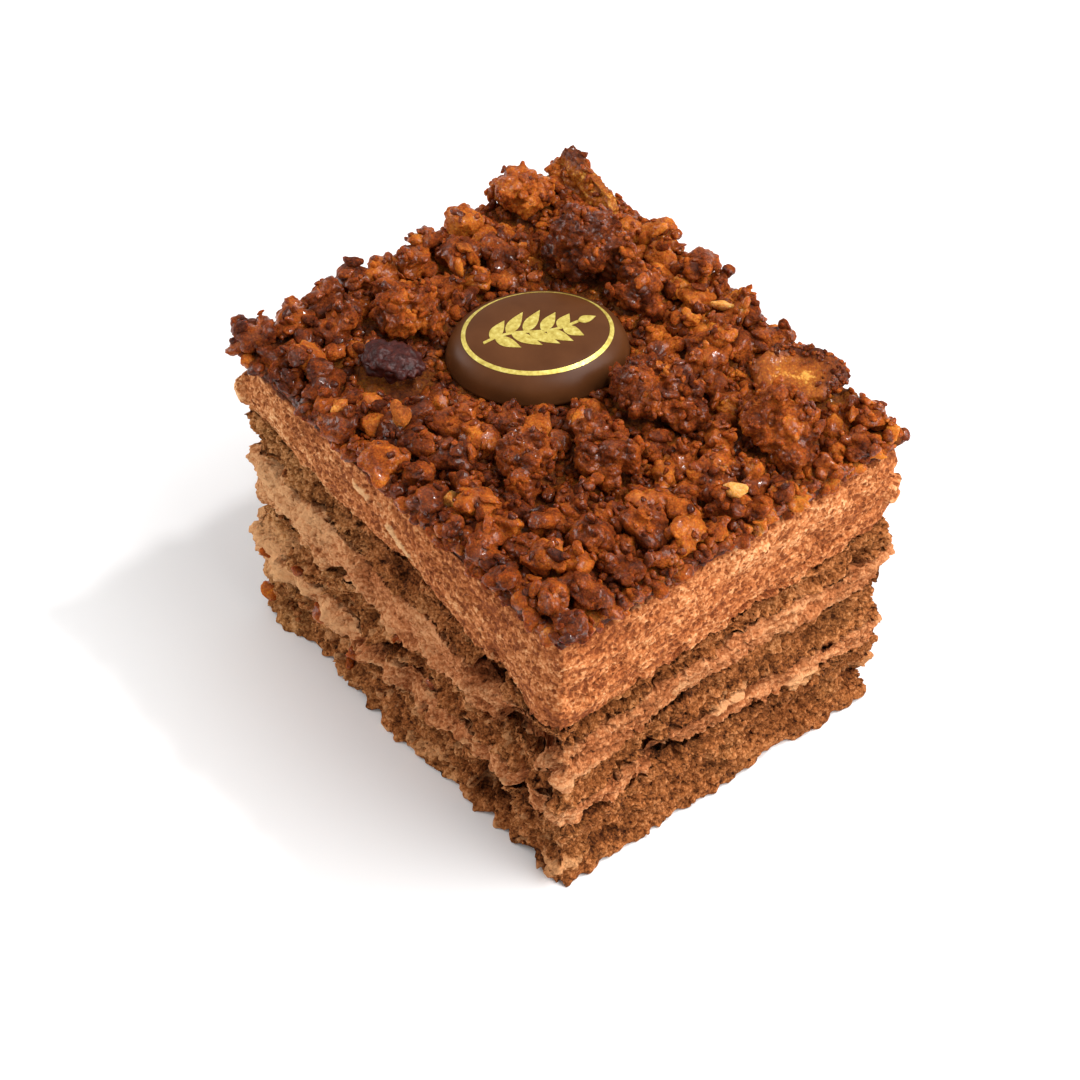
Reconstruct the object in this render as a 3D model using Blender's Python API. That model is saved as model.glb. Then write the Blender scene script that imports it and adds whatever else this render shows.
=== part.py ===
"""A square-cut individual chocolate layer cake with a crumble top and an oval chocolate medallion.

Metres, +Z up. The origin is the middle of the cake's foot, at the height of what it stands on.
+X runs along the longer side. The sizes below are written in millimetres and turned into metres by MM.
"""
import math
import random

import bpy
import bmesh
from mathutils import Euler, Matrix, Quaternion, Vector, noise

MM = 0.001
GAP = 0.3               # clear space between neighbouring pieces

# The cut block
LENGTH = 62.7           # along X
WIDTH = 52.7            # along Y
CORNER_CUT = 0.7        # how far the upright edges are rubbed back
STEP_ALONG = 3.7        # spacing of the points round the sides
BLOCK_TOP = 44.9        # top of the mousse, under the crumble

# Height of each boundary between layers, at eight places round the sides: the left front corner,
# the middle of the front, the right front corner, the middle of the right side, and so on round.
BOUNDARIES = {
    "cream_lower": (10.0, 9.5, 12.5, 12.5, 12.0, 10.5, 11.0, 10.0),
    "sponge_middle": (15.5, 13.5, 15.5, 16.5, 15.0, 13.8, 14.5, 14.5),
    "cream_middle": (21.0, 20.5, 20.0, 23.5, 22.5, 21.0, 22.0, 21.0),
    "sponge_top": (29.5, 28.5, 26.0, 28.0, 27.0, 28.0, 28.5, 29.5),
    "mousse_top": (37.0, 35.0, 30.0, 31.5, 33.0, 34.5, 36.0, 37.0),
}
BOUNDARY_WAVE = 0.8     # small ups and downs of a boundary
BOUNDARY_WAVE_LENGTH = 7.0
BOUNDARY_RAGGED = 0.8   # how far the cut wanders in and out along a boundary
FOOT_INSET = 0.4        # how far the foot is drawn in

# Each layer: how far its side stands out from the cut face, how ragged it is, and its side rows
LAYERS = {
    "sponge_bottom": (-0.5, 1.3, 4),
    "cream_lower": (0.1, 0.9, 2),
    "sponge_middle": (-0.6, 1.2, 3),
    "cream_middle": (0.2, 1.0, 3),
    "sponge_top": (-0.4, 1.1, 3),
    "mousse_top": (0.4, 0.7, 4),
}
RAGGED_LENGTH = 6.0     # size of the crags in the sides
LONGEST_REACH = 2.0     # nothing of a side stands out further than this

# Hollows torn in the sides by the knife, and bulges: x, y and z of the middle, radius, how far out
TORN_PLACES = (
    (17.0, -26.3, 27.0, 3.5, -2.0),
    (24.0, -26.3, 21.5, 5.5, -3.0),
    (17.0, -26.3, 5.0, 5.0, -3.2),
    (2.0, -26.3, 14.5, 4.5, -1.7),
    (29.0, -26.3, 33.0, 6.0, 1.3),
    (-31.3, -26.3, 25.0, 5.0, -2.0),
    (-31.3, -26.3, 34.5, 4.0, 1.2),
    (31.3, -9.0, 15.0, 3.5, -2.1),
    (31.3, -19.0, 27.5, 4.0, -1.3),
    (31.3, 5.0, 15.5, 3.5, -1.3),
    (31.3, 22.0, 29.0, 6.0, 1.0),
    (-31.3, 4.0, 14.0, 5.0, -2.0),
    (-31.3, -12.0, 24.0, 4.0, -1.5),
    (-8.0, 26.3, 12.0, 5.0, -2.2),
    (12.0, 26.3, 26.0, 4.5, -1.7),
)

# The crumble: a thin baked crust with crumbs fused to it
CRUST_FOOT = BLOCK_TOP + GAP
CRUST_TOP = 46.5        # where the large toppings rest
CRUST_REACH = 0.3       # how far the crust stands past the cut face
CRUMB_RADII = ((3.3, 2.6, 42), (2.6, 2.0, 60), (2.0, 1.45, 54))   # largest, smallest, how many
SMALL_CRUMB = 2.0       # a crumb up to this radius is a plain block
BLOCK_SIDE = 1.3        # side of such a block, as a share of the radius
ROUGHNESS = 0.13        # how far a crumb's corners are knocked in and out, as a share of its radius
TRIES = 400             # how often a free place is looked for
CRUMB_INSET = 0.9       # how far inside the cut face a crumb's middle stays
CRUMB_TILT = 22.0       # degrees
CRUMB_CROWDING = 0.68   # least distance between two crumbs, as a share of their radii added
PILED_CRUMBS = 12       # crumbs that lie on other crumbs
SEED = 20

# The medallion of moulded chocolate
MEDALLION_LENGTH = 23.0
MEDALLION_WIDTH = 19.0
MEDALLION_THICKNESS = 4.2
MEDALLION_TURN = 60.0   # degrees from +X
MEDALLION_AT = (-6.4, 0.8)
MEDALLION_SIDES = 28

# Toppings of a berry's size or more: x, y, length, width, height, turn in degrees from +X
TOPPINGS = {
    "cluster_tall": (-13.2, 14.8, 10.8, 8.0, 11.2, 45.0),
    "cluster_beside": (-4.8, 16.0, 6.6, 5.4, 5.6, 10.0),
    "cluster_right": (10.6, 6.0, 12.0, 8.6, 6.0, 20.0),
    "cluster_edge": (23.2, 13.4, 12.0, 8.6, 6.4, -30.0),
    "cluster_front": (13.0, -5.2, 9.6, 7.4, 4.8, -25.0),
    "cluster_middle": (8.4, -12.8, 8.4, 7.2, 4.8, -40.0),
    "cluster_left": (-20.4, -8.2, 8.6, 7.4, 5.0, 40.0),
    "cluster_corner": (-28.0, 16.2, 7.6, 7.0, 5.6, 70.0),
    "cluster_back": (-23.0, 24.4, 9.4, 4.6, 4.4, -4.0),
    "raisin": (-14.4, -15.2, 9.4, 6.8, 5.0, 30.0),
    "nut_slice": (17.2, 21.8, 12.6, 8.0, 3.8, 30.0),
}
CLUSTER_LUMPS = 5       # lumps round the heart of a cluster
GOLDEN_TURN = 0.382     # share of a round from one lump to the next
NUT_SIDES = 20

# Colour, roughness and metallic value of each finish
FINISHES = {
    "sponge": ((0.17, 0.075, 0.032, 1.0), 0.95, 0.0),
    "cream": ((0.36, 0.17, 0.085, 1.0), 0.8, 0.0),
    "mousse": ((0.40, 0.155, 0.07, 1.0), 0.85, 0.0),
    "crumble": ((0.24, 0.055, 0.018, 1.0), 0.45, 0.0),
    "cluster": ((0.20, 0.042, 0.014, 1.0), 0.4, 0.0),
    "fruit": ((0.04, 0.010, 0.008, 1.0), 0.35, 0.0),
    "nut": ((0.50, 0.20, 0.055, 1.0), 0.5, 0.0),
    "chocolate": ((0.105, 0.042, 0.024, 1.0), 0.35, 0.0),
}


def clear_scene():
    for obj in list(bpy.data.objects):
        bpy.data.objects.remove(obj, do_unlink=True)


def finish(name):
    """The named material, made the first time it is asked for."""
    if name in bpy.data.materials:
        return bpy.data.materials[name]
    colour, roughness, metallic = FINISHES[name]
    material = bpy.data.materials.new(name)
    material.use_nodes = True
    shader = material.node_tree.nodes["Principled BSDF"]
    shader.inputs["Base Color"].default_value = colour
    shader.inputs["Roughness"].default_value = roughness
    shader.inputs["Metallic"].default_value = metallic
    return material


def add_object(name, bm, material):
    """The bmesh, drawn in millimetres, as an object in metres with this finish."""
    bmesh.ops.recalc_face_normals(bm, faces=bm.faces)
    bm.transform(Matrix.Scale(MM, 4))
    mesh = bpy.data.meshes.new(name)
    bm.to_mesh(mesh)
    bm.free()
    obj = bpy.data.objects.new(name, mesh)
    bpy.context.scene.collection.objects.link(obj)
    mesh.materials.append(finish(material))
    return obj


def smooth_step(t):
    return t * t * (3 - 2 * t)


def block_outline():
    """Points round the cut block from the left front corner: place, way out and share of the round."""
    signs = ((-1, -1), (1, -1), (1, 1), (-1, 1))
    corners = [Vector((sx * LENGTH / 2, sy * WIDTH / 2)) for sx, sy in signs]
    points = []
    for side, start in enumerate(corners):
        end = corners[(side + 1) % 4]
        count = round((end - start).length / STEP_ALONG)
        out = Vector((end.y - start.y, start.x - end.x)).normalized()
        before = Vector((out.y, -out.x))
        for k in range(count):
            share = (side + k / count) / 4
            if k == 0:
                way = (out + before).normalized()
                points.append((start - way * CORNER_CUT, way, share))
            else:
                points.append((start.lerp(end, k / count), out, share))
    return points


OUTLINE = block_outline()


def boundary_height(name, point, share):
    """Height of the boundary under the named layer, at this point of the outline."""
    heights = BOUNDARIES[name]
    place = share * len(heights)
    k = int(place)
    steady = heights[k] + (heights[(k + 1) % len(heights)] - heights[k]) * smooth_step(place - k)
    where = Vector((point.x, point.y, steady * 3)) / BOUNDARY_WAVE_LENGTH
    return steady + BOUNDARY_WAVE * noise.noise(where)


def side_relief(point, z, ragged):
    """How far the side stands out here, with its crags and its torn hollows."""
    where = Vector((point.x, point.y, z * 1.6)) / RAGGED_LENGTH
    out = ragged * (noise.noise(where) + 0.5 * noise.noise(where * 2.3))
    for x, y, height, radius, stand_out in TORN_PLACES:
        away = math.dist((point.x, point.y, z), (x, y, height)) / radius
        out += stand_out * math.exp(-2 * away * away)
    return min(out, LONGEST_REACH)


def boundary_ring(name):
    """The outline at the boundary under the named layer, which both its neighbours share."""
    ring = []
    for point, way, share in OUTLINE:
        z = boundary_height(name, point, share)
        spot = point + way * side_relief(point, z, BOUNDARY_RAGGED)
        ring.append(Vector((spot.x, spot.y, z)))
    return ring


def close_ring(bm, ring, middle_z):
    """Fills a ring with a fan about a middle point of this height."""
    middle = bm.verts.new((0, 0, middle_z))
    for k, vert in enumerate(ring):
        bm.faces.new((vert, ring[(k + 1) % len(ring)], middle))


def skin_rings(bm, rings):
    """Joins rings of points into a closed shape, with a fan over the first and the last."""
    rows = [[bm.verts.new(p) for p in ring] for ring in rings]
    for low, high in zip(rows, rows[1:]):
        for k in range(len(low)):
            after = (k + 1) % len(low)
            bm.faces.new((low[k], low[after], high[after], high[k]))
    for row in (rows[0], rows[-1]):
        close_ring(bm, row, sum(v.co.z for v in row) / len(row))


def add_layer(name, above, material):
    """One layer of the block, from the boundary under it to the one under the layer above."""
    stand_out, ragged, rows = LAYERS[name]
    if name in BOUNDARIES:
        foot = boundary_ring(name)
    else:
        foot = []
        for point, way, share in OUTLINE:
            spot = point + way * (side_relief(point, 0, ragged) - FOOT_INSET)
            foot.append(Vector((spot.x, spot.y, 0)))
    if above:
        head = [p - Vector((0, 0, GAP)) for p in boundary_ring(above)]
    else:
        head = [Vector((point.x, point.y, BLOCK_TOP)) for point, way, share in OUTLINE]
    rings = [foot]
    for row in range(1, rows):
        ring = []
        for (point, way, share), low, high in zip(OUTLINE, foot, head):
            z = low.z + (high.z - low.z) * row / rows
            spot = point + way * (stand_out + side_relief(point, z, ragged))
            ring.append(Vector((spot.x, spot.y, z)))
        rings.append(ring)
    rings.append(head)
    bm = bmesh.new()
    skin_rings(bm, rings)
    return add_object(name, bm, material)


def lump(bm, middle, size, turn, rng, sides=20):
    """Adds one rough lump to the bmesh: a ball of 20 sides or a block of 6, stretched and knocked about."""
    if sides == 20:
        made = bmesh.ops.create_icosphere(bm, subdivisions=1, radius=1.0)["verts"]
    else:
        made = bmesh.ops.create_cube(bm, size=BLOCK_SIDE)["verts"]
    for vert in made:
        vert.co *= 1 + rng.uniform(-ROUGHNESS, ROUGHNESS)
    place = Matrix.Translation(middle) @ turn.to_matrix().to_4x4() @ Matrix.Diagonal((*size, 1))
    bmesh.ops.transform(bm, matrix=place, verts=made)


def random_turn(rng, tilt):
    """A turn by any angle about the upright, then a tilt of up to this many degrees."""
    lean = [math.radians(rng.uniform(-tilt, tilt)) for axis in range(2)]
    return Euler((*lean, rng.uniform(0, math.tau))).to_quaternion()


def fuse(base, pieces):
    """Unions the pieces into the base, fills what that seals in and drops what it leaves loose."""
    holder = bpy.data.collections.new("pieces_to_fuse")
    bpy.context.scene.collection.children.link(holder)
    for piece in pieces:
        bpy.context.scene.collection.objects.unlink(piece)
        holder.objects.link(piece)
    union = base.modifiers.new("fuse", "BOOLEAN")
    union.operation = "UNION"
    union.operand_type = "COLLECTION"
    union.collection = holder
    bpy.context.view_layer.objects.active = base
    bpy.ops.object.modifier_apply(modifier=union.name)
    for piece in pieces:
        bpy.data.objects.remove(piece, do_unlink=True)
    bpy.data.collections.remove(holder)
    keep_largest_shell(base)


def keep_largest_shell(obj):
    """Keeps the outer skin alone: sealed hollows and loose scraps are shells of their own."""
    bm = bmesh.new()
    bm.from_mesh(obj.data)
    unseen = set(bm.verts)
    shells = []
    while unseen:
        shell = {unseen.pop()}
        edge_of_shell = list(shell)
        while edge_of_shell:
            vert = edge_of_shell.pop()
            near = {e.other_vert(vert) for e in vert.link_edges} & unseen
            unseen -= near
            shell |= near
            edge_of_shell.extend(near)
        shells.append(shell)
    largest = max(shells, key=len)
    bmesh.ops.delete(bm, geom=[v for v in bm.verts if v not in largest], context="VERTS")
    bm.to_mesh(obj.data)
    bm.free()


def on_topping(x, y, reach):
    """Whether a crumb of this reach at x, y would touch the medallion or one of the large toppings."""
    plans = [(*MEDALLION_AT, MEDALLION_LENGTH, MEDALLION_WIDTH, MEDALLION_TURN)]
    plans += [(tx, ty, length, width, turn) for tx, ty, length, width, height, turn in TOPPINGS.values()]
    for tx, ty, length, width, turn in plans:
        angle = math.radians(turn)
        along = (x - tx) * math.cos(angle) + (y - ty) * math.sin(angle)
        across = (y - ty) * math.cos(angle) - (x - tx) * math.sin(angle)
        margin = reach + GAP
        if math.hypot(along / (length / 2 + margin), across / (width / 2 + margin)) < 1:
            return True
    return False


def scatter_crumbs(rng):
    """Places of the crumbs on the crust, largest first and spread evenly: x, y, z, radius."""
    placed = []
    reach_x = LENGTH / 2 - CRUMB_INSET
    reach_y = WIDTH / 2 - CRUMB_INSET
    for largest, smallest, count in CRUMB_RADII:
        for k in range(count):
            radius = largest + (smallest - largest) * k / count
            for attempt in range(TRIES):
                x = rng.uniform(-reach_x, reach_x)
                y = rng.uniform(-reach_y, reach_y)
                if on_topping(x, y, radius):
                    continue
                if all(math.dist((x, y), p[:2]) > CRUMB_CROWDING * (radius + p[3]) for p in placed):
                    z = max(CRUST_TOP + radius * rng.uniform(0.15, 0.4), CRUST_FOOT + 0.84 * radius)
                    placed.append((x, y, z, radius))
                    break
    piled = []
    while len(piled) < PILED_CRUMBS:
        x, y, z, radius = rng.choice(placed)
        small = rng.uniform(1.2, 1.9)
        angle = rng.uniform(0, math.tau)
        x += 0.6 * radius * math.cos(angle)
        y += 0.6 * radius * math.sin(angle)
        if not on_topping(x, y, small) and abs(x) < reach_x and abs(y) < reach_y:
            piled.append((x, y, z + 0.75 * radius, small))
    return placed + piled


def add_crumble():
    """The baked crust over the mousse with its crumbs, as one uneven piece."""
    rings = []
    for z, reach in ((CRUST_FOOT, -0.4), (CRUST_FOOT + 0.5, CRUST_REACH), (CRUST_TOP, 0.0)):
        ring = []
        for point, way, share in OUTLINE:
            wave = 0.5 * noise.noise(Vector((point.x, point.y, z * 4)) / 4.0)
            spot = point + way * (reach + wave)
            ring.append(Vector((spot.x, spot.y, z)))
        rings.append(ring)
    bm = bmesh.new()
    skin_rings(bm, rings)
    crust = add_object("crumble", bm, "crumble")
    rng = random.Random(SEED)
    crumbs = []
    for x, y, z, radius in scatter_crumbs(rng):
        bm = bmesh.new()
        size = (radius, radius * rng.uniform(0.8, 0.95), radius * rng.uniform(0.58, 0.68))
        sides = 20 if radius > SMALL_CRUMB else 6
        lump(bm, (x, y, z), size, random_turn(rng, CRUMB_TILT), rng, sides)
        crumbs.append(add_object("crumb", bm, "crumble"))
    fuse(crust, crumbs)
    return crust


def set_down(obj, name):
    """Fits a topping to its named size and sets it down on the crust in its place."""
    x, y, length, width, height, turn = TOPPINGS[name]
    corners = [v.co for v in obj.data.vertices]
    low = Vector([min(c[axis] for c in corners) for axis in range(3)])
    high = Vector([max(c[axis] for c in corners) for axis in range(3)])
    foot = Vector(((low.x + high.x) / 2, (low.y + high.y) / 2, low.z))
    wanted = Vector((length, width, height)) * MM
    grow = Matrix.Diagonal([size / reach for size, reach in zip(wanted, high - low)] + [1])
    place = Matrix.Translation(Vector((x, y, CRUST_TOP + GAP)) * MM)
    place = place @ Matrix.Rotation(math.radians(turn), 4, "Z")
    obj.data.transform(place @ grow @ Matrix.Translation(-foot))
    return obj


def add_cluster(name):
    """A cluster of baked crumble: lumps of different sizes fused round a heart."""
    x, y, length, width, height, turn = TOPPINGS[name]
    rng = random.Random(name)
    bm = bmesh.new()
    heart = (0.42 * length, 0.4 * width, 0.4 * height)
    lump(bm, (0, 0, 0.42 * height), heart, Quaternion(), rng)
    base = add_object(name, bm, "cluster")
    pieces = []
    for k in range(CLUSTER_LUMPS):
        angle = math.tau * (k * GOLDEN_TURN + rng.uniform(-0.06, 0.06))
        rise = (k + 0.3) / CLUSTER_LUMPS
        spread = math.cos(rise * math.pi / 2) ** 0.5
        radius = min(length, width, 1.3 * height) * rng.uniform(0.26, 0.36)
        middle = Vector((
            0.3 * length * spread * math.cos(angle),
            0.3 * width * spread * math.sin(angle),
            height * (0.26 + 0.55 * rise),
        ))
        bm = bmesh.new()
        lump(bm, middle, (radius, radius * 0.85, radius * 0.9), random_turn(rng, 90), rng)
        pieces.append(add_object("lump", bm, "cluster"))
    fuse(base, pieces)
    return set_down(base, name)


def add_raisin():
    """The dark dried fruit: a flattened ball drawn into wrinkles."""
    bm = bmesh.new()
    bmesh.ops.create_icosphere(bm, subdivisions=2, radius=1.0)
    for vert in bm.verts:
        wrinkle = noise.noise(Vector((vert.co.x * 1.5, vert.co.y * 3.5, vert.co.z * 3.5)))
        vert.co *= 0.9 + 0.3 * wrinkle
    return set_down(add_object("raisin", bm, "fruit"), "raisin")


def add_nut_slice():
    """The flat caramelised nut slice: an oval plate with a rough rim and a sunken middle."""
    rings = []
    for share, rise in ((0.80, 0.0), (1.0, 0.35), (0.94, 0.85), (0.72, 1.0), (0.45, 0.72)):
        ring = []
        for k in range(NUT_SIDES):
            angle = math.tau * k / NUT_SIDES
            rough = 1 + 0.2 * noise.noise(Vector((math.cos(angle) * 2, math.sin(angle) * 2, rise)))
            reach = share * rough
            ring.append(Vector((1.6 * reach * math.cos(angle), reach * math.sin(angle), rise)))
        rings.append(ring)
    bm = bmesh.new()
    skin_rings(bm, rings)
    return set_down(add_object("nut_slice", bm, "nut"), "nut_slice")


def add_medallion():
    """The oval medallion: a thin rim at its foot, a rounded side and a slightly crowned face."""
    rows = (
        (0.0, 0.00), (0.35, 0.08), (0.5, 0.34), (1.0, 0.60),
        (1.9, 0.82), (3.0, 0.94), (5.5, 1.0),
    )
    rings = []
    for inset, rise in rows:
        ring = []
        for k in range(MEDALLION_SIDES):
            angle = math.tau * k / MEDALLION_SIDES
            ring.append(Vector((
                (MEDALLION_LENGTH / 2 - inset) * math.cos(angle),
                (MEDALLION_WIDTH / 2 - inset) * math.sin(angle),
                rise * MEDALLION_THICKNESS,
            )))
        rings.append(ring)
    bm = bmesh.new()
    skin_rings(bm, rings)
    place = Matrix.Translation((*MEDALLION_AT, CRUST_TOP + GAP))
    bm.transform(place @ Matrix.Rotation(math.radians(MEDALLION_TURN), 4, "Z"))
    medallion = add_object("medallion", bm, "chocolate")
    medallion.data.shade_smooth()
    medallion.data.set_sharp_from_angle(angle=math.radians(40))
    return medallion


def centre_on_foot(pieces):
    """Moves the whole sideways until the origin is the middle of its box."""
    corners = [v.co for piece in pieces for v in piece.data.vertices]
    middle = [(min(c[axis] for c in corners) + max(c[axis] for c in corners)) / 2 for axis in (0, 1)]
    for piece in pieces:
        piece.data.transform(Matrix.Translation((-middle[0], -middle[1], 0)))


def main():
    clear_scene()
    names = list(LAYERS)
    pieces = []
    for name, above in zip(names, names[1:] + [None]):
        pieces.append(add_layer(name, above, name.split("_")[0]))
    pieces.append(add_crumble())
    pieces += [add_cluster(name) for name in TOPPINGS if name.startswith("cluster")]
    pieces += [add_raisin(), add_nut_slice(), add_medallion()]
    centre_on_foot(pieces)


main()
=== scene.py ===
"""The looks of a square-cut chocolate layer cake: torn sides of sponge, cream and mousse, a caramelised
crumble top with clusters, a raisin and a nut slice, and an oval medallion of moulded chocolate.

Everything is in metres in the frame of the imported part: +X along the longer side, +Z up. Sizes are
written in millimetres and multiplied by MM.
"""
import math
import random

import bpy
import numpy as np
from mathutils import Euler, Matrix, Vector, noise
from mathutils.bvhtree import BVHTree


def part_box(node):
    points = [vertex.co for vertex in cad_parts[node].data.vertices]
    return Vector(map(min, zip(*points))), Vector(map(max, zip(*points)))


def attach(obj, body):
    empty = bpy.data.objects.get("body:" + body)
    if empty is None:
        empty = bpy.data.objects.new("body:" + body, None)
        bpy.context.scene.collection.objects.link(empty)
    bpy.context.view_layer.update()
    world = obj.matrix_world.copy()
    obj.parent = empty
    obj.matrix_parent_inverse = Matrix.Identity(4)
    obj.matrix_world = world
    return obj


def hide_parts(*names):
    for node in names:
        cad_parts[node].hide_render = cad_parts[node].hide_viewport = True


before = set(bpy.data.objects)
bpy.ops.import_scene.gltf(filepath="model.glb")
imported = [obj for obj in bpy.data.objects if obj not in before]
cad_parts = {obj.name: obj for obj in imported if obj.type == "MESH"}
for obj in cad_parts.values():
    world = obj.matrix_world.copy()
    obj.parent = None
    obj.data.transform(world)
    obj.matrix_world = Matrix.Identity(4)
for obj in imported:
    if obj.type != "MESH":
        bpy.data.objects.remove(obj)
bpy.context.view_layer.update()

MM = 0.001

# The floor, the lights and the camera
FLOOR_SIZE = 900 * MM
CAMERA_AT = Vector((256.1, -211.4, 373.9)) * MM
CAMERA_LOOKS_AT = Vector((-16.4, 9.0, 0.0)) * MM
CAMERA_LENS = 129.25    # millimetres, on a sensor 36 mm wide
SENSOR_WIDTH = 36.0

# The cut block, in millimetres as are all sizes below
LENGTH = 62.7
WIDTH = 52.7
BLOCK_TOP = 44.9        # top of the mousse, under the crumble
LAYER_GAP = 0.3         # the solids' clear space, which the soft layers close
SIDE_CUTS = 14          # new points along each edge of a side's faces
ROUNDING = 8            # how often the fine points are evened before they are roughened
CAP_REACH = 10.0        # only the middle of a cap lies this near the upright axis
PATCH_REACH = 6.0       # how deep behind the side's plane a tear or a smear is still felt
RUBBLE_TOP = 27.0       # below this the front side is rubble, where the layers run into each other
BOUNDARY_RAGGED = 0.7   # how far a boundary between layers wanders up and down

# How rough each kind of layer is. Size and reach of its crags, of the ledges torn along it, of its clods
# and of its grains, then how many of its grains have fallen out and how deep they leave a pore, how deep
# its cracks are, and how far the middle of its side is hollowed
ROUGHNESS = {
    "sponge": ((4.5, 0.9), (1.2, 0.45), (1.4, 0.34), (0.56, 0.34), (0.22, 0.45), 0.8, 0.5),
    "cream": ((5.0, 0.8), (1.5, 0.42), (1.9, 0.2), (0.6, 0.22), (0.12, 0.35), 0.6, -0.1),
    "mousse": ((6.0, 0.35), (1.6, 0.16), (2.6, 0.08), (0.7, 0.1), (0.36, 0.3), 0.3, -0.1),
}
LEDGE_STRETCH = 2.6     # how much longer a ledge is than it is high
FOOT_CALM = 1.6         # up to this height the side is less rough, so that the foot has no spikes
CRACK_STRETCH = 5.0
CRACK_BREADTH = 0.13    # as a share of the noise that draws the cracks
LAYERS = ("sponge_bottom", "cream_lower", "sponge_middle", "cream_middle", "sponge_top", "mousse_top")

# Tears in the sides: side, place along it, height, half length, half height, lean, depth
TEARS = (
    ("front", 16.6, 27.6, 2.6, 2.2, 0.9, 2.6), ("front", 24.6, 23.2, 6.0, 2.6, 0.25, 3.0),
    ("front", 16.8, 6.4, 3.6, 3.6, 0.5, 2.8), ("front", -3.6, 14.4, 6.2, 1.1, 0.6, 2.0),
    ("front", 4.6, 10.8, 0.9, 0.8, 0.0, 1.6), ("front", 4.0, 34.6, 0.9, 0.7, 0.0, 1.2),
    ("front", -0.8, 31.8, 1.9, 1.3, -0.4, 1.2), ("front", -4.4, 25.4, 3.2, 3.0, 0.0, 0.9),
    ("front", -11.6, 22.2, 2.2, 0.9, 0.4, 1.4), ("front", 29.6, 21.2, 0.8, 1.3, 0.0, 1.6),
    ("front", 23.6, 13.0, 0.9, 3.6, 0.0, 1.5), ("front", 18.8, 33.4, 0.8, 0.7, 0.0, 1.0),
    ("front", 13.0, 30.8, 2.0, 0.6, 0.0, 1.2), ("front", 28.0, 17.6, 1.0, 2.6, 0.0, 1.2),
    ("front", 24.0, 1.2, 3.2, 1.4, 0.0, 1.5), ("front", 2.0, 16.6, 3.0, 1.0, 0.2, 1.1),
    ("right", -8.2, 29.6, 4.0, 0.6, -0.2, 1.8), ("right", -20.0, 27.8, 7.5, 0.7, 0.05, 1.5),
    ("right", -20.0, 36.6, 3.4, 0.3, 0.1, 0.9), ("right", -23.8, 35.2, 2.2, 0.4, 0.0, 0.8),
    ("right", -10.0, 14.2, 3.0, 2.4, -0.5, 2.0), ("right", -5.4, 36.0, 0.8, 0.5, 0.0, 0.9),
    ("right", -8.4, 32.8, 0.9, 0.8, 0.0, 1.2), ("right", -0.9, 27.2, 1.0, 0.6, -0.5, 1.0),
    ("right", 1.6, 15.0, 4.6, 0.6, 0.05, 1.2), ("right", 22.6, 4.6, 1.8, 2.6, 0.0, 1.6),
    ("right", 17.6, 21.2, 1.1, 0.9, 0.0, 1.3), ("right", 14.4, 18.4, 1.2, 0.8, 0.0, 1.1),
    ("right", 21.0, 28.0, 2.4, 0.8, 0.3, 1.1), ("right", -22.0, 30.6, 5.0, 0.5, 0.0, 0.8),
    ("right", 26.2, 40.2, 1.7, 1.0, 0.0, 1.7), ("right", 25.6, 33.6, 1.6, 0.8, 0.0, 1.3),
    ("right", 25.8, 24.8, 1.8, 1.2, 0.0, 1.4), ("right", 25.8, 12.6, 1.6, 1.0, 0.0, 1.3),
    ("right", 4.0, 33.0, 6.0, 0.45, 0.0, 1.0), ("right", 14.0, 35.0, 4.0, 0.4, 0.12, 0.8),
    ("right", -14.0, 22.6, 5.0, 0.6, 0.12, 1.3), ("right", 8.0, 21.6, 6.0, 0.5, 0.05, 1.1),
    ("right", -22.0, 12.0, 3.0, 1.2, 0.4, 1.6), ("right", -18.0, 4.0, 2.4, 1.4, 0.0, 1.3),
    ("right", 6.0, 6.0, 2.0, 1.2, 0.2, 1.2),
    ("front", -30.4, 42.0, 1.4, 0.8, 0.0, 1.3), ("front", -30.2, 36.2, 1.6, 0.9, 0.0, 1.5),
    ("front", -30.4, 30.2, 1.6, 0.9, 0.0, 1.2), ("front", -30.2, 19.0, 1.8, 1.1, 0.0, 1.5),
    ("front", -29.6, 8.4, 2.0, 1.6, 0.3, 1.5), ("front", -20.0, 17.6, 4.6, 0.8, -0.15, 1.5),
    ("front", -16.0, 31.6, 7.0, 0.5, 0.02, 1.1), ("front", -23.0, 4.6, 2.2, 1.6, 0.0, 1.3),
    ("front", -12.0, 4.0, 2.6, 1.6, 0.3, 1.6), ("front", -3.0, 7.0, 2.2, 1.4, 0.4, 1.5),
    ("front", 9.0, 20.4, 4.0, 0.8, 0.3, 1.4), ("front", 8.0, 31.4, 6.0, 0.6, 0.02, 1.3),
    ("back", -14.0, 28.4, 6.0, 0.8, 0.1, 1.6), ("back", 8.0, 15.6, 4.0, 1.6, 0.2, 1.9),
    ("back", 20.0, 30.6, 4.0, 0.8, -0.1, 1.4), ("back", -24.0, 12.0, 2.6, 2.2, 0.0, 1.7),
    ("left", -12.0, 15.0, 4.0, 1.4, 0.2, 1.9), ("left", 10.0, 27.6, 5.0, 0.8, -0.1, 1.5),
    ("left", 18.0, 8.0, 2.8, 2.4, 0.3, 1.8), ("left", -2.0, 35.6, 3.0, 0.5, 0.0, 1.0),
)

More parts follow.
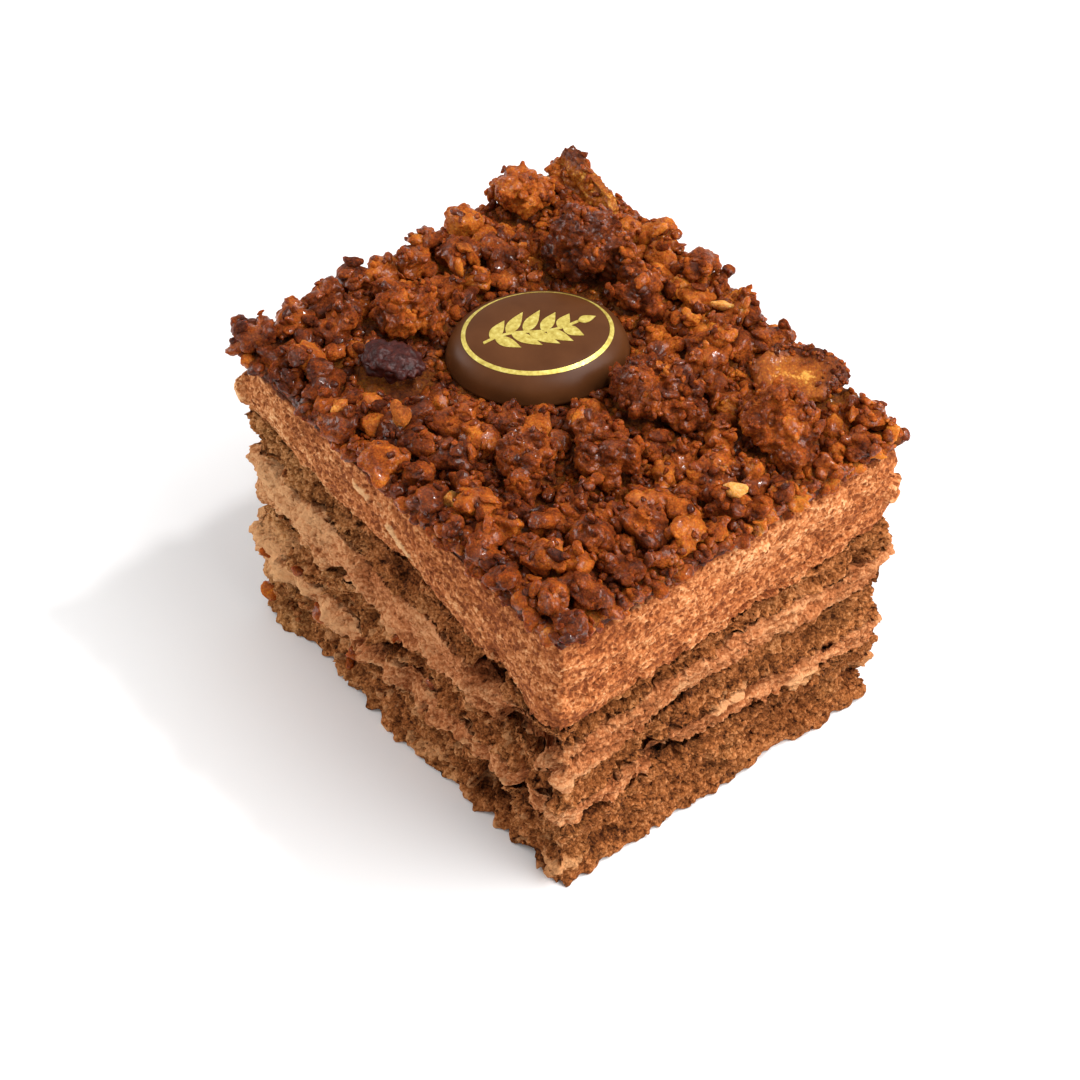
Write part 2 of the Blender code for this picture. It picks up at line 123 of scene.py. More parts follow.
# Places where cream is smeared over the side: the same, then how pale it is; the last but one stands out
SMEARS = (
    ("front", -5.4, 41.4, 1.6, 1.0, 0.0, 0.25, 0.85), ("front", 1.0, 38.9, 2.4, 0.9, -0.4, 0.3, 0.9),
    ("front", -21.0, 26.0, 11.0, 3.2, 0.0, 0.3, 0.5), ("front", -22.0, 12.8, 5.2, 1.8, 0.2, 0.4, 0.9),
    ("front", -9.6, 21.0, 1.6, 1.2, 0.4, 0.3, 0.6), ("front", 29.0, 3.0, 1.8, 1.3, 0.3, 0.5, 0.7),
    ("front", 5.0, 2.4, 4.2, 1.2, 0.5, 0.5, 0.5), ("front", 4.0, 26.6, 6.5, 2.2, 0.0, 0.2, 0.35),
    ("front", -2.0, 14.0, 34.0, 18.0, 0.0, 0.0, 0.15),
    ("front", -26.0, 22.0, 16.0, 22.0, 0.0, 0.0, 0.3), ("front", -27.0, 39.0, 9.0, 7.0, 0.0, 0.0, 0.3), ("front", -26.0, 9.0, 3.0, 2.0, 0.0, 0.5, 0.5),
    ("front", -26.4, 15.4, 5.0, 2.2, 0.1, 0.3, 0.7), ("front", -26.0, 27.6, 5.4, 2.4, 0.0, 0.2, 0.4),
    ("front", -14.0, 11.6, 4.0, 1.5, 0.1, 0.4, 0.5), ("front", -30.6, 39.2, 1.4, 1.5, 0.0, 0.8, 0.0),
    ("front", -30.6, 33.2, 1.4, 1.5, 0.0, 0.7, 0.0), ("front", -30.6, 26.0, 1.6, 2.4, 0.0, 0.7, 0.4),
    ("right", 25.9, 37.4, 1.8, 1.6, 0.0, 0.8, 0.0), ("right", 25.9, 29.6, 1.6, 1.6, 0.0, 0.7, 0.0),
    ("right", 6.0, 41.6, 17.0, 2.4, 0.0, 0.0, 0.35), ("right", 0.0, 31.0, 26.0, 4.0, 0.0, 0.0, 0.12), ("right", -12.0, 38.8, 9.0, 2.0, 0.1, 0.0, 0.25),
    ("front", 12.8, 20.4, 2.6, 2.4, 0.2, 0.3, 0.4), ("front", -11.4, 8.0, 1.0, 1.6, 0.0, 0.3, 0.6),
    ("right", 0.6, 16.4, 3.6, 0.7, 0.05, 0.45, 0.6), ("right", 12.4, 12.6, 2.9, 1.3, -0.1, 0.45, 0.7),
    ("right", 16.8, 14.0, 1.4, 0.8, 0.0, 0.4, 0.5), ("right", 11.6, 26.6, 4.6, 0.45, -0.12, 0.3, 0.45),
    ("right", 24.6, 5.4, 1.3, 1.4, 0.0, 0.4, 0.5), ("right", -24.0, 21.6, 3.6, 1.6, 0.1, 0.3, 0.35),
    ("right", -7.8, 25.0, 1.6, 0.5, 0.3, 0.3, 0.5),
    ("back", 4.0, 38.6, 2.6, 0.9, 0.2, 0.3, 0.8), ("back", -10.0, 13.0, 4.0, 1.4, 0.0, 0.4, 0.8),
    ("back", 16.0, 25.0, 5.0, 1.4, 0.1, 0.3, 0.6), ("left", 4.0, 25.0, 6.0, 1.8, 0.0, 0.3, 0.6),
    ("left", -14.0, 12.6, 4.0, 1.3, 0.1, 0.4, 0.8), ("left", 16.0, 40.4, 1.8, 0.8, 0.0, 0.25, 0.7),
)

# The crumble: its crust and its crumbs, placed as the solid has them
CRUST_FOOT = 45.2
CRUST_TOP = 46.5
CRUST_STEP = 0.28       # spacing of the crust's fine points
CRUMB_RADII = ((3.3, 2.6, 42), (2.6, 2.0, 60), (2.0, 1.45, 54))   # largest, smallest, how many
TRIES = 400             # how often a free place is looked for
CRUMB_INSET = 0.9       # how far inside the cut face a crumb's middle stays
CRUMB_CROWDING = 0.68   # least distance between two crumbs, as a share of their radii added
TALL_SQUASH = 0.9       # the tall cluster's grains stand over its solid, so it is drawn down by this
PILED_CRUMBS = 12       # crumbs that lie on other crumbs
SEED = 20
CLEARANCE = 0.3         # between a crumb and a large topping
GAP_TOP = 47.6          # what lies lower than this fills the gaps between the crumbs
CLUSTER_TONES = {
    "cluster_tall": 0.12, "cluster_beside": 0.3, "cluster_right": 0.3, "cluster_edge": 0.5,
    "cluster_front": 0.35, "cluster_middle": 0.45, "cluster_left": 0.5, "cluster_corner": 0.8,
}
TOPPINGS = {   # x, y, length, width, turn in degrees
    "medallion": (-6.4, 0.8, 23.0, 19.0, 60.0),
    "cluster_tall": (-13.2, 14.8, 10.8, 8.0, 45.0), "cluster_beside": (-4.8, 16.0, 6.6, 5.4, 10.0),
    "cluster_right": (10.6, 6.0, 12.0, 8.6, 20.0), "cluster_edge": (23.2, 13.4, 12.0, 8.6, -30.0),
    "cluster_front": (13.0, -5.2, 9.6, 7.4, -25.0), "cluster_middle": (8.4, -12.8, 8.4, 7.2, -40.0),
    "cluster_left": (-20.4, -8.2, 8.6, 7.4, 40.0), "cluster_corner": (-28.0, 16.2, 7.6, 7.0, 70.0),
    "cluster_back": (-23.0, 24.4, 9.4, 4.6, -4.0), "raisin": (-14.4, -15.2, 9.4, 6.8, 30.0),
    "nut_slice": (17.2, 21.8, 12.6, 8.0, 30.0),
}

# Pale and toasted bits of nut on the crumble: x, y, half sizes, how light
NUT_BITS = (
    (27.9, 2.6, (1.5, 1.2, 1.0), 1.0), (6.6, -22.6, (1.3, 1.1, 0.9), 0.9), (2.3, 22.6, (0.6, 1.5, 0.9), 1.0),
    (-5.5, -20.6, (1.7, 1.2, 1.0), 0.3), (-12.8, -24.3, (1.4, 1.1, 0.9), 0.4),
    (-24.0, 3.4, (1.1, 0.8, 0.7), 0.3), (12.8, 23.8, (1.0, 0.7, 0.6), 0.5),
)

# Caramel crumbs stuck to the front side: x, height, half size, how light
STUCK_CRUMBS = (
    (-28.8, 3.4, 1.3, 0.9), (-17.0, 9.2, 1.4, 0.8), (-10.4, 7.3, 1.2, 0.6), (-20.4, 15.1, 0.8, 0.5),
    (4.3, 14.1, 0.9, 0.4), (-0.6, 19.2, 0.7, 0.5), (-26.9, 13.3, 0.9, 0.9), (11.3, 17.6, 0.8, 0.3),
    (-13.0, 2.4, 1.0, 0.7), (19.0, 9.0, 0.8, 0.4),
)

# The nut slice: how steeply it slopes to the front, and its pale spot: along, across, half length, half width
NUT_SLOPE = 0.3
NUT_TURN = 12           # degrees
NUT_PALE = (0.6, -0.4, 2.4, 1.0)

# The medallion: rows of its profile, each how far in from the foot's edge and how high, as a share
MEDALLION_THICKNESS = 4.2
MEDALLION_ROWS = (
    (0.0, 0.0), (0.3, 0.05), (0.42, 0.2), (0.55, 0.36), (0.8, 0.52), (1.25, 0.68), (1.9, 0.82),
    (2.8, 0.925), (3.8, 0.965), (5.5, 1.0), (7.4, 1.012), (8.9, 1.016),
)
GOLD_LINE = (9.0, 7.0, 0.52, 80)    # half length, half width, breadth, and in degrees where it thins
SPRIG_TURN = 9          # degrees
GOLD_THICKNESS = 0.05

low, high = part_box("medallion")
SHIFT = (low + high) / 2 - Vector(TOPPINGS["medallion"][:2]).to_3d() * MM    # from the plan to the frame
SHIFT.z = 0


# Working on pieces

def select_only(piece):
    """Makes this the one selected and active object."""
    if bpy.context.mode != "OBJECT":
        bpy.ops.object.mode_set(mode="OBJECT")
    bpy.ops.object.select_all(action="DESELECT")
    piece.select_set(True)
    bpy.context.view_layer.objects.active = piece


def finish_with(piece, kind, **values):
    """Adds a modifier, sets its values and applies it."""
    select_only(piece)
    bpy.ops.object.modifier_add(type=kind)
    modifier = piece.modifiers[-1]
    for name, value in values.items():
        setattr(modifier, name, value)
    bpy.ops.object.modifier_apply(modifier=modifier.name)


def roughen(piece, kind, size, strength, group="", **values):
    """Pushes the surface in and out by a texture with features of this size."""
    texture = bpy.data.textures.new("relief", kind)
    texture.noise_scale = size
    for key, value in values.items():
        setattr(texture, key, value)
    finish_with(piece, "DISPLACE", texture=texture, texture_coords="LOCAL", strength=strength,
                mid_level=0.5, vertex_group=group)
    bpy.data.textures.remove(texture)


def join_into(piece, others):
    select_only(piece)
    for other in others:
        other.select_set(True)
    bpy.ops.object.join()


def copy_of_node(node):
    """A copy of a solid with its loose triangles joined at their corners, ready to be worked on."""
    piece = bpy.data.objects.new(node + "_fine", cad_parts[node].data.copy())
    bpy.context.scene.collection.objects.link(piece)
    piece.data.materials.clear()
    select_only(piece)
    bpy.ops.object.mode_set(mode="EDIT")
    bpy.ops.mesh.select_all(action="SELECT")
    bpy.ops.mesh.remove_doubles(threshold=0.002 * MM)
    bpy.ops.object.mode_set(mode="OBJECT")
    return piece


def select_faces(piece, wanted):
    """Selects the faces for which wanted(face) is true, in object mode."""
    mesh = piece.data
    mesh.vertices.foreach_set("select", [False] * len(mesh.vertices))
    mesh.edges.foreach_set("select", [False] * len(mesh.edges))
    mesh.polygons.foreach_set("select", [wanted(face) for face in mesh.polygons])


def set_values(piece, name, values):
    """Keeps one number for each point of the piece, which its material reads."""
    mesh = piece.data
    if name in mesh.attributes:
        mesh.attributes.remove(mesh.attributes[name])
    mesh.attributes.new(name, "FLOAT", "POINT").data.foreach_set("value", values)


def places_of(piece):
    points = np.empty(len(piece.data.vertices) * 3)
    piece.data.vertices.foreach_get("co", points)
    return points.reshape(-1, 3)


# The layers

def clouds_at(points, size, octaves=2, stretch=1.0):
    """Soft noise from about -1 to 1, with features of this size, longer along the layers if stretched."""
    scaled = points / (size * MM * np.array((stretch, stretch, 1)))
    return np.array([noise.fractal(Vector(p), 1.0, 2.0, octaves) for p in scaled])


def grains_at(points, size):
    """For each point, its distance from the middle of its grain and a number from 0 to 1 of that grain's."""
    away, own = [], []
    for p in points / (size * MM):
        distances, middles = noise.voronoi(Vector(p))
        away.append(distances[0])
        own.append(noise.cell(middles[0] * 91.7))
    return np.array(away), np.array(own)


def smooth_step(values):
    values = np.clip(values, 0, 1)
    return values * values * (3 - 2 * values)


def patch_on_side(points, side, place, z, half_length, half_height, lean):
    """How far each point lies within a ragged oval patch of one side: 1 inside, 0 outside."""
    x, y = (points[:, 0] - SHIFT.x) / MM, (points[:, 1] - SHIFT.y) / MM
    along = x if side in ("front", "back") else y
    depth = {"front": y + WIDTH / 2, "right": LENGTH / 2 - x, "back": WIDTH / 2 - y, "left": x + LENGTH / 2}[side]
    run = along - place
    rise = points[:, 2] / MM - z - lean * run
    away = np.hypot(run / half_length, rise / half_height)
    near = (away < 1.8) & (depth < PATCH_REACH)
    inside = np.zeros(len(points))
    if near.any():
        ragged = 0.45 * clouds_at(points[near], 1.6) + 0.25 * clouds_at(points[near], 0.6)
        inside[near] = smooth_step((1.3 - away[near] - ragged) / 0.6) * smooth_step((PATCH_REACH - depth[near]) / 3)
    return inside


def rim_heights(mesh, rim):
    """The rim of a cap as a table: angle about the upright axis, place on the rim."""
    spots = np.array([mesh.vertices[k].co for k in rim])
    angles = np.arctan2(spots[:, 1], spots[:, 0])
    order = np.argsort(angles)
    return angles[order], spots[order]


def on_rim(points, rim):
    """The place on a rim that lies on the same side of the cake as each point."""
    angles = np.arctan2(points[:, 1], points[:, 0])
    return np.stack([np.interp(angles, rim[0], rim[1][:, axis], period=math.tau) for axis in range(3)], 1)


def make_layer(node):
    """A layer whose side is cut fine and torn: crags, lumps, grains and pores, tears and smears."""
    piece = copy_of_node(node)
    mesh = piece.data
    middles = [v.index for v in mesh.vertices if math.hypot(v.co.x, v.co.y) < CAP_REACH * MM]
    middles.sort(key=lambda k: mesh.vertices[k].co.z)
    flat_top = (BLOCK_TOP - 0.01) * MM

    def in_foot(face):
        return middles[0] in face.vertices

    def in_head(face):
        return middles[-1] in face.vertices if middles[1:] else all(
            mesh.vertices[k].co.z > flat_top for k in face.vertices)

    # close the gap to the layer above
    if node != LAYERS[-1]:
        select_faces(piece, in_head)
        bpy.ops.object.mode_set(mode="EDIT")
        bpy.ops.transform.translate(value=(0, 0, LAYER_GAP * MM))
        bpy.ops.object.mode_set(mode="OBJECT")

    # cut the side fine
    select_faces(piece, lambda face: not in_foot(face) and not in_head(face))
    bpy.ops.object.mode_set(mode="EDIT")
    bpy.ops.mesh.select_mode(type="FACE")
    bpy.ops.mesh.tris_convert_to_quads()
    bpy.ops.mesh.subdivide(number_cuts=SIDE_CUTS)
    bpy.ops.mesh.select_mode(type="VERT")
    bpy.ops.mesh.vertices_smooth(factor=0.5, repeat=ROUNDING)
    bpy.ops.object.mode_set(mode="OBJECT")

    side = np.array([v.index for v in mesh.vertices if v.select])
    rims = []
    for in_cap in (in_foot, in_head):
        rim = {k for face in mesh.polygons if in_cap(face) for k in face.vertices} - set(middles)
        rims.append(rim_heights(mesh, sorted(rim)))
    points = places_of(piece)[side]
    outward = np.array([mesh.vertices[k].normal for k in side])
    outward[:, 2] *= 0.25
    outward /= np.linalg.norm(outward, axis=1)[:, None]
    foot, head = (on_rim(points, rim) for rim in rims)
    rise = np.clip((points[:, 2] - foot[:, 2]) / (head[:, 2] - foot[:, 2]), 0, 1)

    crag, ledge, clod, grain, pore, crack, hollow = ROUGHNESS[node.split("_")[0]]
    fine = ledge[1] * clouds_at(points, ledge[0], 3, LEDGE_STRETCH)
    for size, reach in (clod, grain):
        away, own = grains_at(points, size)
        bump = np.sqrt(np.clip(1 - (away / 0.75) ** 2, 0, 1))
        fine += reach * (0.7 * bump + 0.8 * (own - 0.5) - 0.4)
    fine -= pore[1] * (own < pore[0]) * np.clip(1.5 - away / 0.35, 0, 1)
    on_front = smooth_step((-points[:, 1] / MM - WIDTH / 2 + 5) / 4)
    rubble = on_front * smooth_step((RUBBLE_TOP - points[:, 2] / MM) / 8)
    coarse = crag[1] * clouds_at(points, crag[0], 2, 1.6) - hollow * 4 * rise * (1 - rise)
    coarse += 1.15 * rubble * clouds_at(points, 2.3, 3)
    cracked = np.clip(1 - abs(clouds_at(points, 1.5, 2, CRACK_STRETCH)) / CRACK_BREADTH, 0, 1)
    torn = -crack * cracked * np.clip(0.35 + 1.6 * clouds_at(points, 9.0), 0, 1)
    for *where, depth in TEARS:
        torn -= depth * patch_on_side(points, *where)
    pale = np.zeros(len(points))
    for *where, height, paleness in SMEARS:
        inside = patch_on_side(points, *where)
        torn += height * inside
        pale = np.maximum(pale, paleness * inside)
    lumps = smooth_step((clouds_at(points, 1.7, 3, 1.4) - 0.1) / 0.35)
    pale = np.maximum(pale, 0.62 * rubble * lumps)
    fine *= (1 - 0.35 * pale) * (0.4 + 0.6 * smooth_step(points[:, 2] / MM / FOOT_CALM))

    moved = points + outward * ((fine + coarse + torn) * MM)[:, None]
    if node != LAYERS[0]:
        wander = clouds_at(foot, 2.6, 3)
        moved[:, 2] += BOUNDARY_RAGGED * MM * wander * (1 - rise) ** 2
    if node != LAYERS[-1]:
        wander = clouds_at(head - (0, 0, LAYER_GAP * MM), 2.6, 3)
        moved[:, 2] += BOUNDARY_RAGGED * MM * wander * rise ** 2
    moved[:, 2] += 0.12 * MM * clouds_at(points, 0.7) * (4 * rise * (1 - rise))
    moved[:, 2] = np.clip(moved[:, 2], 0, BLOCK_TOP * MM)
    everything = places_of(piece)
    everything[side] = moved
    mesh.vertices.foreach_set("co", everything.ravel())
    deep = piece.vertex_groups.new(name="deep")
    near_foot = 1 - smooth_step((moved[:, 2] / MM - 0.4) / FOOT_CALM)
    for k, weight in zip(side, np.maximum(smooth_step((-torn - 0.5) / 0.9), near_foot)):
        if weight > 0.01:
            deep.add([int(k)], float(weight), "REPLACE")
    finish_with(piece, "SMOOTH", factor=0.5, iterations=6, vertex_group="deep")
    piece.vertex_groups.clear()
    everything = places_of(piece)
    everything[side[moved[:, 2] < 0.1 * MM], 2] = 0
    mesh.vertices.foreach_set("co", everything.ravel())
    # relief: how far each point stands out, or lies deep in a pore or tear; the material paints the deep places
    # darker and the standing crumbs lighter: painted shade and painted light
    relief = np.zeros(len(mesh.vertices))
    relief[side] = np.clip(fine / (ledge[1] + clod[1] + grain[1]) + 0.6 * torn, -2.5, 1)
    set_values(piece, "relief", relief)
    paleness = np.zeros(len(mesh.vertices))
    paleness[side] = pale
    set_values(piece, "pale", paleness)
    # Greyer, lighter patches at random, and painted light over the front side, strongest towards its far end; the
    # mousse takes about half of it
    grey_patches_and_painted_light = np.zeros(len(mesh.vertices))
    far_end = on_front * smooth_step((-points[:, 0] / MM - 2) / 26)
    grey_patches_and_painted_light[side] = np.clip(0.1 * on_front + 0.65 * far_end + 0.45 * clouds_at(points, 5.5, 3), 0, 1)
    if node == LAYERS[-1]:
        grey_patches_and_painted_light *= 0.55
    set_values(piece, "grey_patches_and_painted_light", grey_patches_and_painted_light)
    if node == LAYERS[-1]:
        stain = np.zeros(len(mesh.vertices))
        corner = smooth_step((-points[:, 0] / MM - 22) / 9) * smooth_step((-points[:, 1] / MM - 10) / 14)
        droop = 0.5 + 0.5 * clouds_at(points, 3.0, 3) + 0.35 * clouds_at(points, 0.7) + 0.5 * corner
        stain[side] = smooth_step((points[:, 2] / MM - BLOCK_TOP + droop) / 0.5)
        set_values(piece, "stain", stain)
    mesh.shade_smooth()
    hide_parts(node)
    return piece


# The crumble

def make_crust():
    """The baked crust under the crumbs: a thin slab whose top and rim are cut fine and knobbly."""
    bpy.ops.mesh.primitive_grid_add(
        x_subdivisions=round(LENGTH / CRUST_STEP), y_subdivisions=round(WIDTH / CRUST_STEP),
        size=1, location=SHIFT + Vector((0, 0, BLOCK_TOP * MM)))
    crust = bpy.context.object
    crust.name = "crust"
    crust.scale = (LENGTH * MM, WIDTH * MM, 1)
    bpy.ops.object.transform_apply(location=True, rotation=True, scale=True)
    bpy.ops.object.mode_set(mode="EDIT")
    bpy.ops.mesh.select_all(action="SELECT")
    bpy.ops.mesh.extrude_region_move(
        TRANSFORM_OT_translate={"value": (0, 0, (CRUST_TOP - BLOCK_TOP) * MM)})
    bpy.ops.object.mode_set(mode="OBJECT")
    mesh = crust.data

    # one face is enough for the foot, and the rim takes rows as fine as the top's
    middle_z = (BLOCK_TOP + CRUST_TOP) / 2 * MM
    select_faces(crust, lambda face: all(mesh.vertices[k].co.z < middle_z for k in face.vertices))
    bpy.ops.object.mode_set(mode="EDIT")
    bpy.ops.mesh.select_mode(type="FACE")
    bpy.ops.mesh.delete(type="ONLY_FACE")
    bpy.ops.mesh.select_all(action="DESELECT")
    bpy.ops.mesh.select_mode(type="EDGE")
    bpy.ops.mesh.select_non_manifold()
    bpy.ops.mesh.edge_face_add()
    bpy.ops.object.mode_set(mode="OBJECT")
    select_faces(crust, lambda face: False)
    for edge in mesh.edges:
        climb = mesh.vertices[edge.vertices[0]].co.z - mesh.vertices[edge.vertices[1]].co.z
        edge.select = abs(climb) > 0.5 * MM
    bpy.ops.object.mode_set(mode="EDIT")
    bpy.ops.mesh.subdivide(number_cuts=6)
    bpy.ops.mesh.select_mode(type="VERT")
    bpy.ops.mesh.select_all(action="SELECT")
    bpy.ops.mesh.vertices_smooth(factor=0.5, repeat=4)
    bpy.ops.mesh.normals_make_consistent(inside=False)
    bpy.ops.object.mode_set(mode="OBJECT")
    rough = crust.vertex_groups.new(name="rough")
    rough.add([v.index for v in mesh.vertices if v.co.z > (BLOCK_TOP + 0.3) * MM], 1.0, "REPLACE")
    roughen(crust, "CLOUDS", 5 * MM, 1.0 * MM, "rough", noise_depth=2)
    roughen(crust, "VORONOI", 1.5 * MM, -0.9 * MM, "rough")
    roughen(crust, "CLOUDS", 0.8 * MM, 0.4 * MM, "rough", noise_depth=2)
    crust.vertex_groups.clear()
    crust.data.shade_smooth()
    points = places_of(crust)
    edge = smooth_step((-points[:, 1] / MM - 19) / 6) + smooth_step((-points[:, 2] / MM + 46.0) / 0.5)
    set_values(crust, "tint", 0.5 - 0.5 * np.clip(edge + 0.5 * clouds_at(points, 4.0), 0, 1))
    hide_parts("crumble")
    return crust


def nugget(rng, cuts):
    """A ball about two units across with flat broken faces cut at random."""
    bpy.ops.mesh.primitive_ico_sphere_add(subdivisions=3, radius=1)
    piece = bpy.context.object
    bpy.ops.object.mode_set(mode="EDIT")
    for cut in range(cuts):
        way = Vector([rng.gauss(0, 1) for axis in range(3)]).normalized()
        bpy.ops.mesh.select_all(action="SELECT")
        bpy.ops.mesh.bisect(plane_co=way * rng.uniform(0.5, 0.85), plane_no=way, use_fill=True, clear_outer=True)
    bpy.ops.object.mode_set(mode="OBJECT")
    return piece


def baked_lump(rng, stock, chunks, voxel, faces, smoothing=5):
    """One crumb two units across: a few rounded chunks stuck to a heart and baked together."""
    def chunk(radius, middle):
        piece = rng.choice(stock).copy()
        piece.data = piece.data.copy()
        bpy.context.scene.collection.objects.link(piece)
        turn = Euler([rng.uniform(0, math.tau) for axis in range(3)]).to_matrix().to_4x4()
        piece.data.transform(Matrix.Translation(middle) @ turn @ Matrix.Scale(radius, 4))
        return piece

    heart = chunk(0.9, Vector())
    around = []
    for k in range(chunks):
        height = 1 - 2 * (k + 0.5) / chunks
        turn = k * math.pi * (3 - math.sqrt(5)) + rng.uniform(-0.8, 0.8)
        flat = math.sqrt(1 - height * height)
        way = Vector((flat * math.cos(turn), flat * math.sin(turn), height))
        around.append(chunk(rng.uniform(0.3, 0.62), way * rng.uniform(0.6, 0.85)))
    join_into(heart, around)
    finish_with(heart, "REMESH", mode="VOXEL", voxel_size=voxel)
    finish_with(heart, "SMOOTH", factor=0.5, iterations=smoothing)
    heart.data.transform(Matrix.Translation([rng.uniform(3, 60) for axis in range(3)]))
    roughen(heart, "CLOUDS", 0.6, 0.26, noise_depth=2)
    roughen(heart, "VORONOI", 0.22, -0.07)
    finish_with(heart, "DECIMATE", ratio=min(1.0, faces / (2 * len(heart.data.polygons))))
    points = places_of(heart)
    points -= (points.min(0) + points.max(0)) / 2
    points *= 2 / (points.max(0) - points.min(0))
    corners = [tuple(face.vertices) for face in heart.data.polygons]
    bpy.data.objects.remove(heart)
    return points, corners


def joined(name, shapes, places):
    """One piece made of copies of the shapes: each place has a middle, a size, a turn and a tint."""
    points, faces, tints = [], [], []
    count = 0
    for k, (middle, size, turn, tint) in enumerate(places):
        shape, corners = shapes[k % len(shapes)]
        points.append((shape * np.array(size)) @ np.array(turn.to_matrix()).T + np.array(middle))
        faces += [tuple(count + c for c in face) for face in corners]
        tints.append(np.full(len(shape), tint))
        count += len(shape)
    mesh = bpy.data.meshes.new(name)
    mesh.from_pydata(np.concatenate(points).tolist(), [], faces)
    mesh.shade_smooth()
    piece = bpy.data.objects.new(name, mesh)
    bpy.context.scene.collection.objects.link(piece)
    set_values(piece, "tint", np.concatenate(tints))
    return piece


def within_topping(name, x, y, reach):
    """Whether something of this reach at x, y would touch the named topping."""
    tx, ty, length, width, turn = TOPPINGS[name]
    angle = math.radians(turn)
    along = (x - tx) * math.cos(angle) + (y - ty) * math.sin(angle)
    across = (y - ty) * math.cos(angle) - (x - tx) * math.sin(angle)
    return math.hypot(along / (length / 2 + reach), across / (width / 2 + reach)) < 1


def on_topping(x, y, reach):
    return any(within_topping(name, x, y, reach + CLEARANCE) for name in TOPPINGS)


def crumb_places(rng):
    """Places of the crumbs on the crust, largest first and spread evenly: x, y, z, radius."""
    placed = []
    reach_x = LENGTH / 2 - CRUMB_INSET
    reach_y = WIDTH / 2 - CRUMB_INSET
    for largest, smallest, count in CRUMB_RADII:
        for k in range(count):
            radius = largest + (smallest - largest) * k / count
            for attempt in range(TRIES):
                x = rng.uniform(-reach_x, reach_x)
                y = rng.uniform(-reach_y, reach_y)
                if on_topping(x, y, radius):
                    continue
                if all(math.dist((x, y), p[:2]) > CRUMB_CROWDING * (radius + p[3]) for p in placed):
                    z = max(CRUST_TOP + radius * rng.uniform(0.15, 0.4), CRUST_FOOT + 0.84 * radius)
                    placed.append((x, y, z, radius))
                    break
    piled = []
    while len(piled) < PILED_CRUMBS:
        x, y, z, radius = rng.choice(placed)
        small = rng.uniform(1.2, 1.9)
        angle = rng.uniform(0, math.tau)
        x += 0.6 * radius * math.cos(angle)
        y += 0.6 * radius * math.sin(angle)
        if not on_topping(x, y, small) and abs(x) < reach_x and abs(y) < reach_y:
            piled.append((x, y, z + 0.75 * radius, small))
    return placed + piled


def random_turn(rng, tilt):
    lean = [math.radians(rng.uniform(-tilt, tilt)) for axis in range(2)]
    return Euler((*lean, rng.uniform(0, math.tau))).to_quaternion()


def lighter_to_the_back(y):
    """How much lighter the crumbs are coloured here: darker towards the front edge, golden towards the back."""
    return float(0.16 * smooth_step((y + 4) / 26) - 0.2 * smooth_step((-y - 8) / 14))


def tone_at(rng, y):
    """How light a crumb is: baked lighter or darker as it falls, and darker towards the front edge."""
    return 0.22 + 0.75 * rng.random() + lighter_to_the_back(y)


def make_crumbs(stock):
    """The crumbs of a rice grain's size and more, where the solid has them, as one piece of each size."""
    rng = random.Random(SEED)
    places = crumb_places(rng)
    pieces = []
    for name, least, most, chunks, voxel, faces in (
        ("crumbs_large", 2.6, 9.0, (4, 5, 6, 7), 0.07, 3600),
        ("crumbs_middle", 2.0, 2.6, (2, 3, 4, 5), 0.08, 2200),
        ("crumbs_small", 0.0, 2.0, (1, 2, 3), 0.1, 1200),
    ):
        shapes = [baked_lump(rng, stock, chunks[k % len(chunks)], voxel, faces) for k in range(10)]
        here = []
        for x, y, z, radius in places:
            if least <= radius < most:
                size = Vector((radius, radius * rng.uniform(0.75, 1.0), radius * rng.uniform(0.66, 0.8)))
                here.append((Vector((x, y, z)) * MM + SHIFT, size * MM, random_turn(rng, 25), tone_at(rng, y)))
        pieces.append(joined(name, shapes, here))
    return pieces


def surface_of(pieces):
    """All these pieces as one tree that can be asked what lies under a point."""
    points, faces = [], []
    for piece in pieces:
        first = len(points)
        points += [v.co for v in piece.data.vertices]
        faces += [[first + k for k in face.vertices] for face in piece.data.polygons]
    return BVHTree.FromPolygons(points, faces)


def strewn(rng, count, ground, kind, sink, spared, tints, low_share=0.0):
    """Places of small loose things fallen on the ground at random. kind: least and most half sizes.

    low_share of what would lie on top of the larger crumbs is left out, so that it fills the gaps."""
    here = []
    while len(here) < count:
        x = rng.uniform(-LENGTH / 2, LENGTH / 2)
        y = rng.uniform(-WIDTH / 2, WIDTH / 2)
        fall = Vector((rng.uniform(-0.7, 0.7), rng.uniform(-0.7, 0.7), -1))
        start = Vector((x, y, CRUST_TOP)) - 24 * fall
        hit, normal, index, away = ground.ray_cast(start * MM + SHIFT, fall.normalized())
        if hit is None or hit.z < (BLOCK_TOP + 0.5) * MM or any(
                within_topping(name, (hit.x - SHIFT.x) / MM, (hit.y - SHIFT.y) / MM, 0.15) for name in spared):
            continue
        if hit.z > GAP_TOP * MM and rng.random() < low_share:
            continue
        size = Vector([rng.uniform(least, most) for least, most in kind])
        turn = normal.to_track_quat("Z", "Y") @ random_turn(rng, 20)
        middle = hit + normal * size.z * (1 - 2 * sink) * MM
        here.append((middle, size * MM, turn, rng.uniform(*tints) + lighter_to_the_back(y)))
    return here


def onto(ground, x, y, size, sink, turn, tint):
    """The place of one thing of this half size, dropped onto the ground at x, y."""
    hit, normal, index, away = ground.ray_cast(Vector((x, y, 70)) * MM + SHIFT, Vector((0, 0, -1)))
    middle = hit + Vector((0, 0, size[2] * (1 - 2 * sink))) * MM
    return middle, Vector(size) * MM, turn, tint


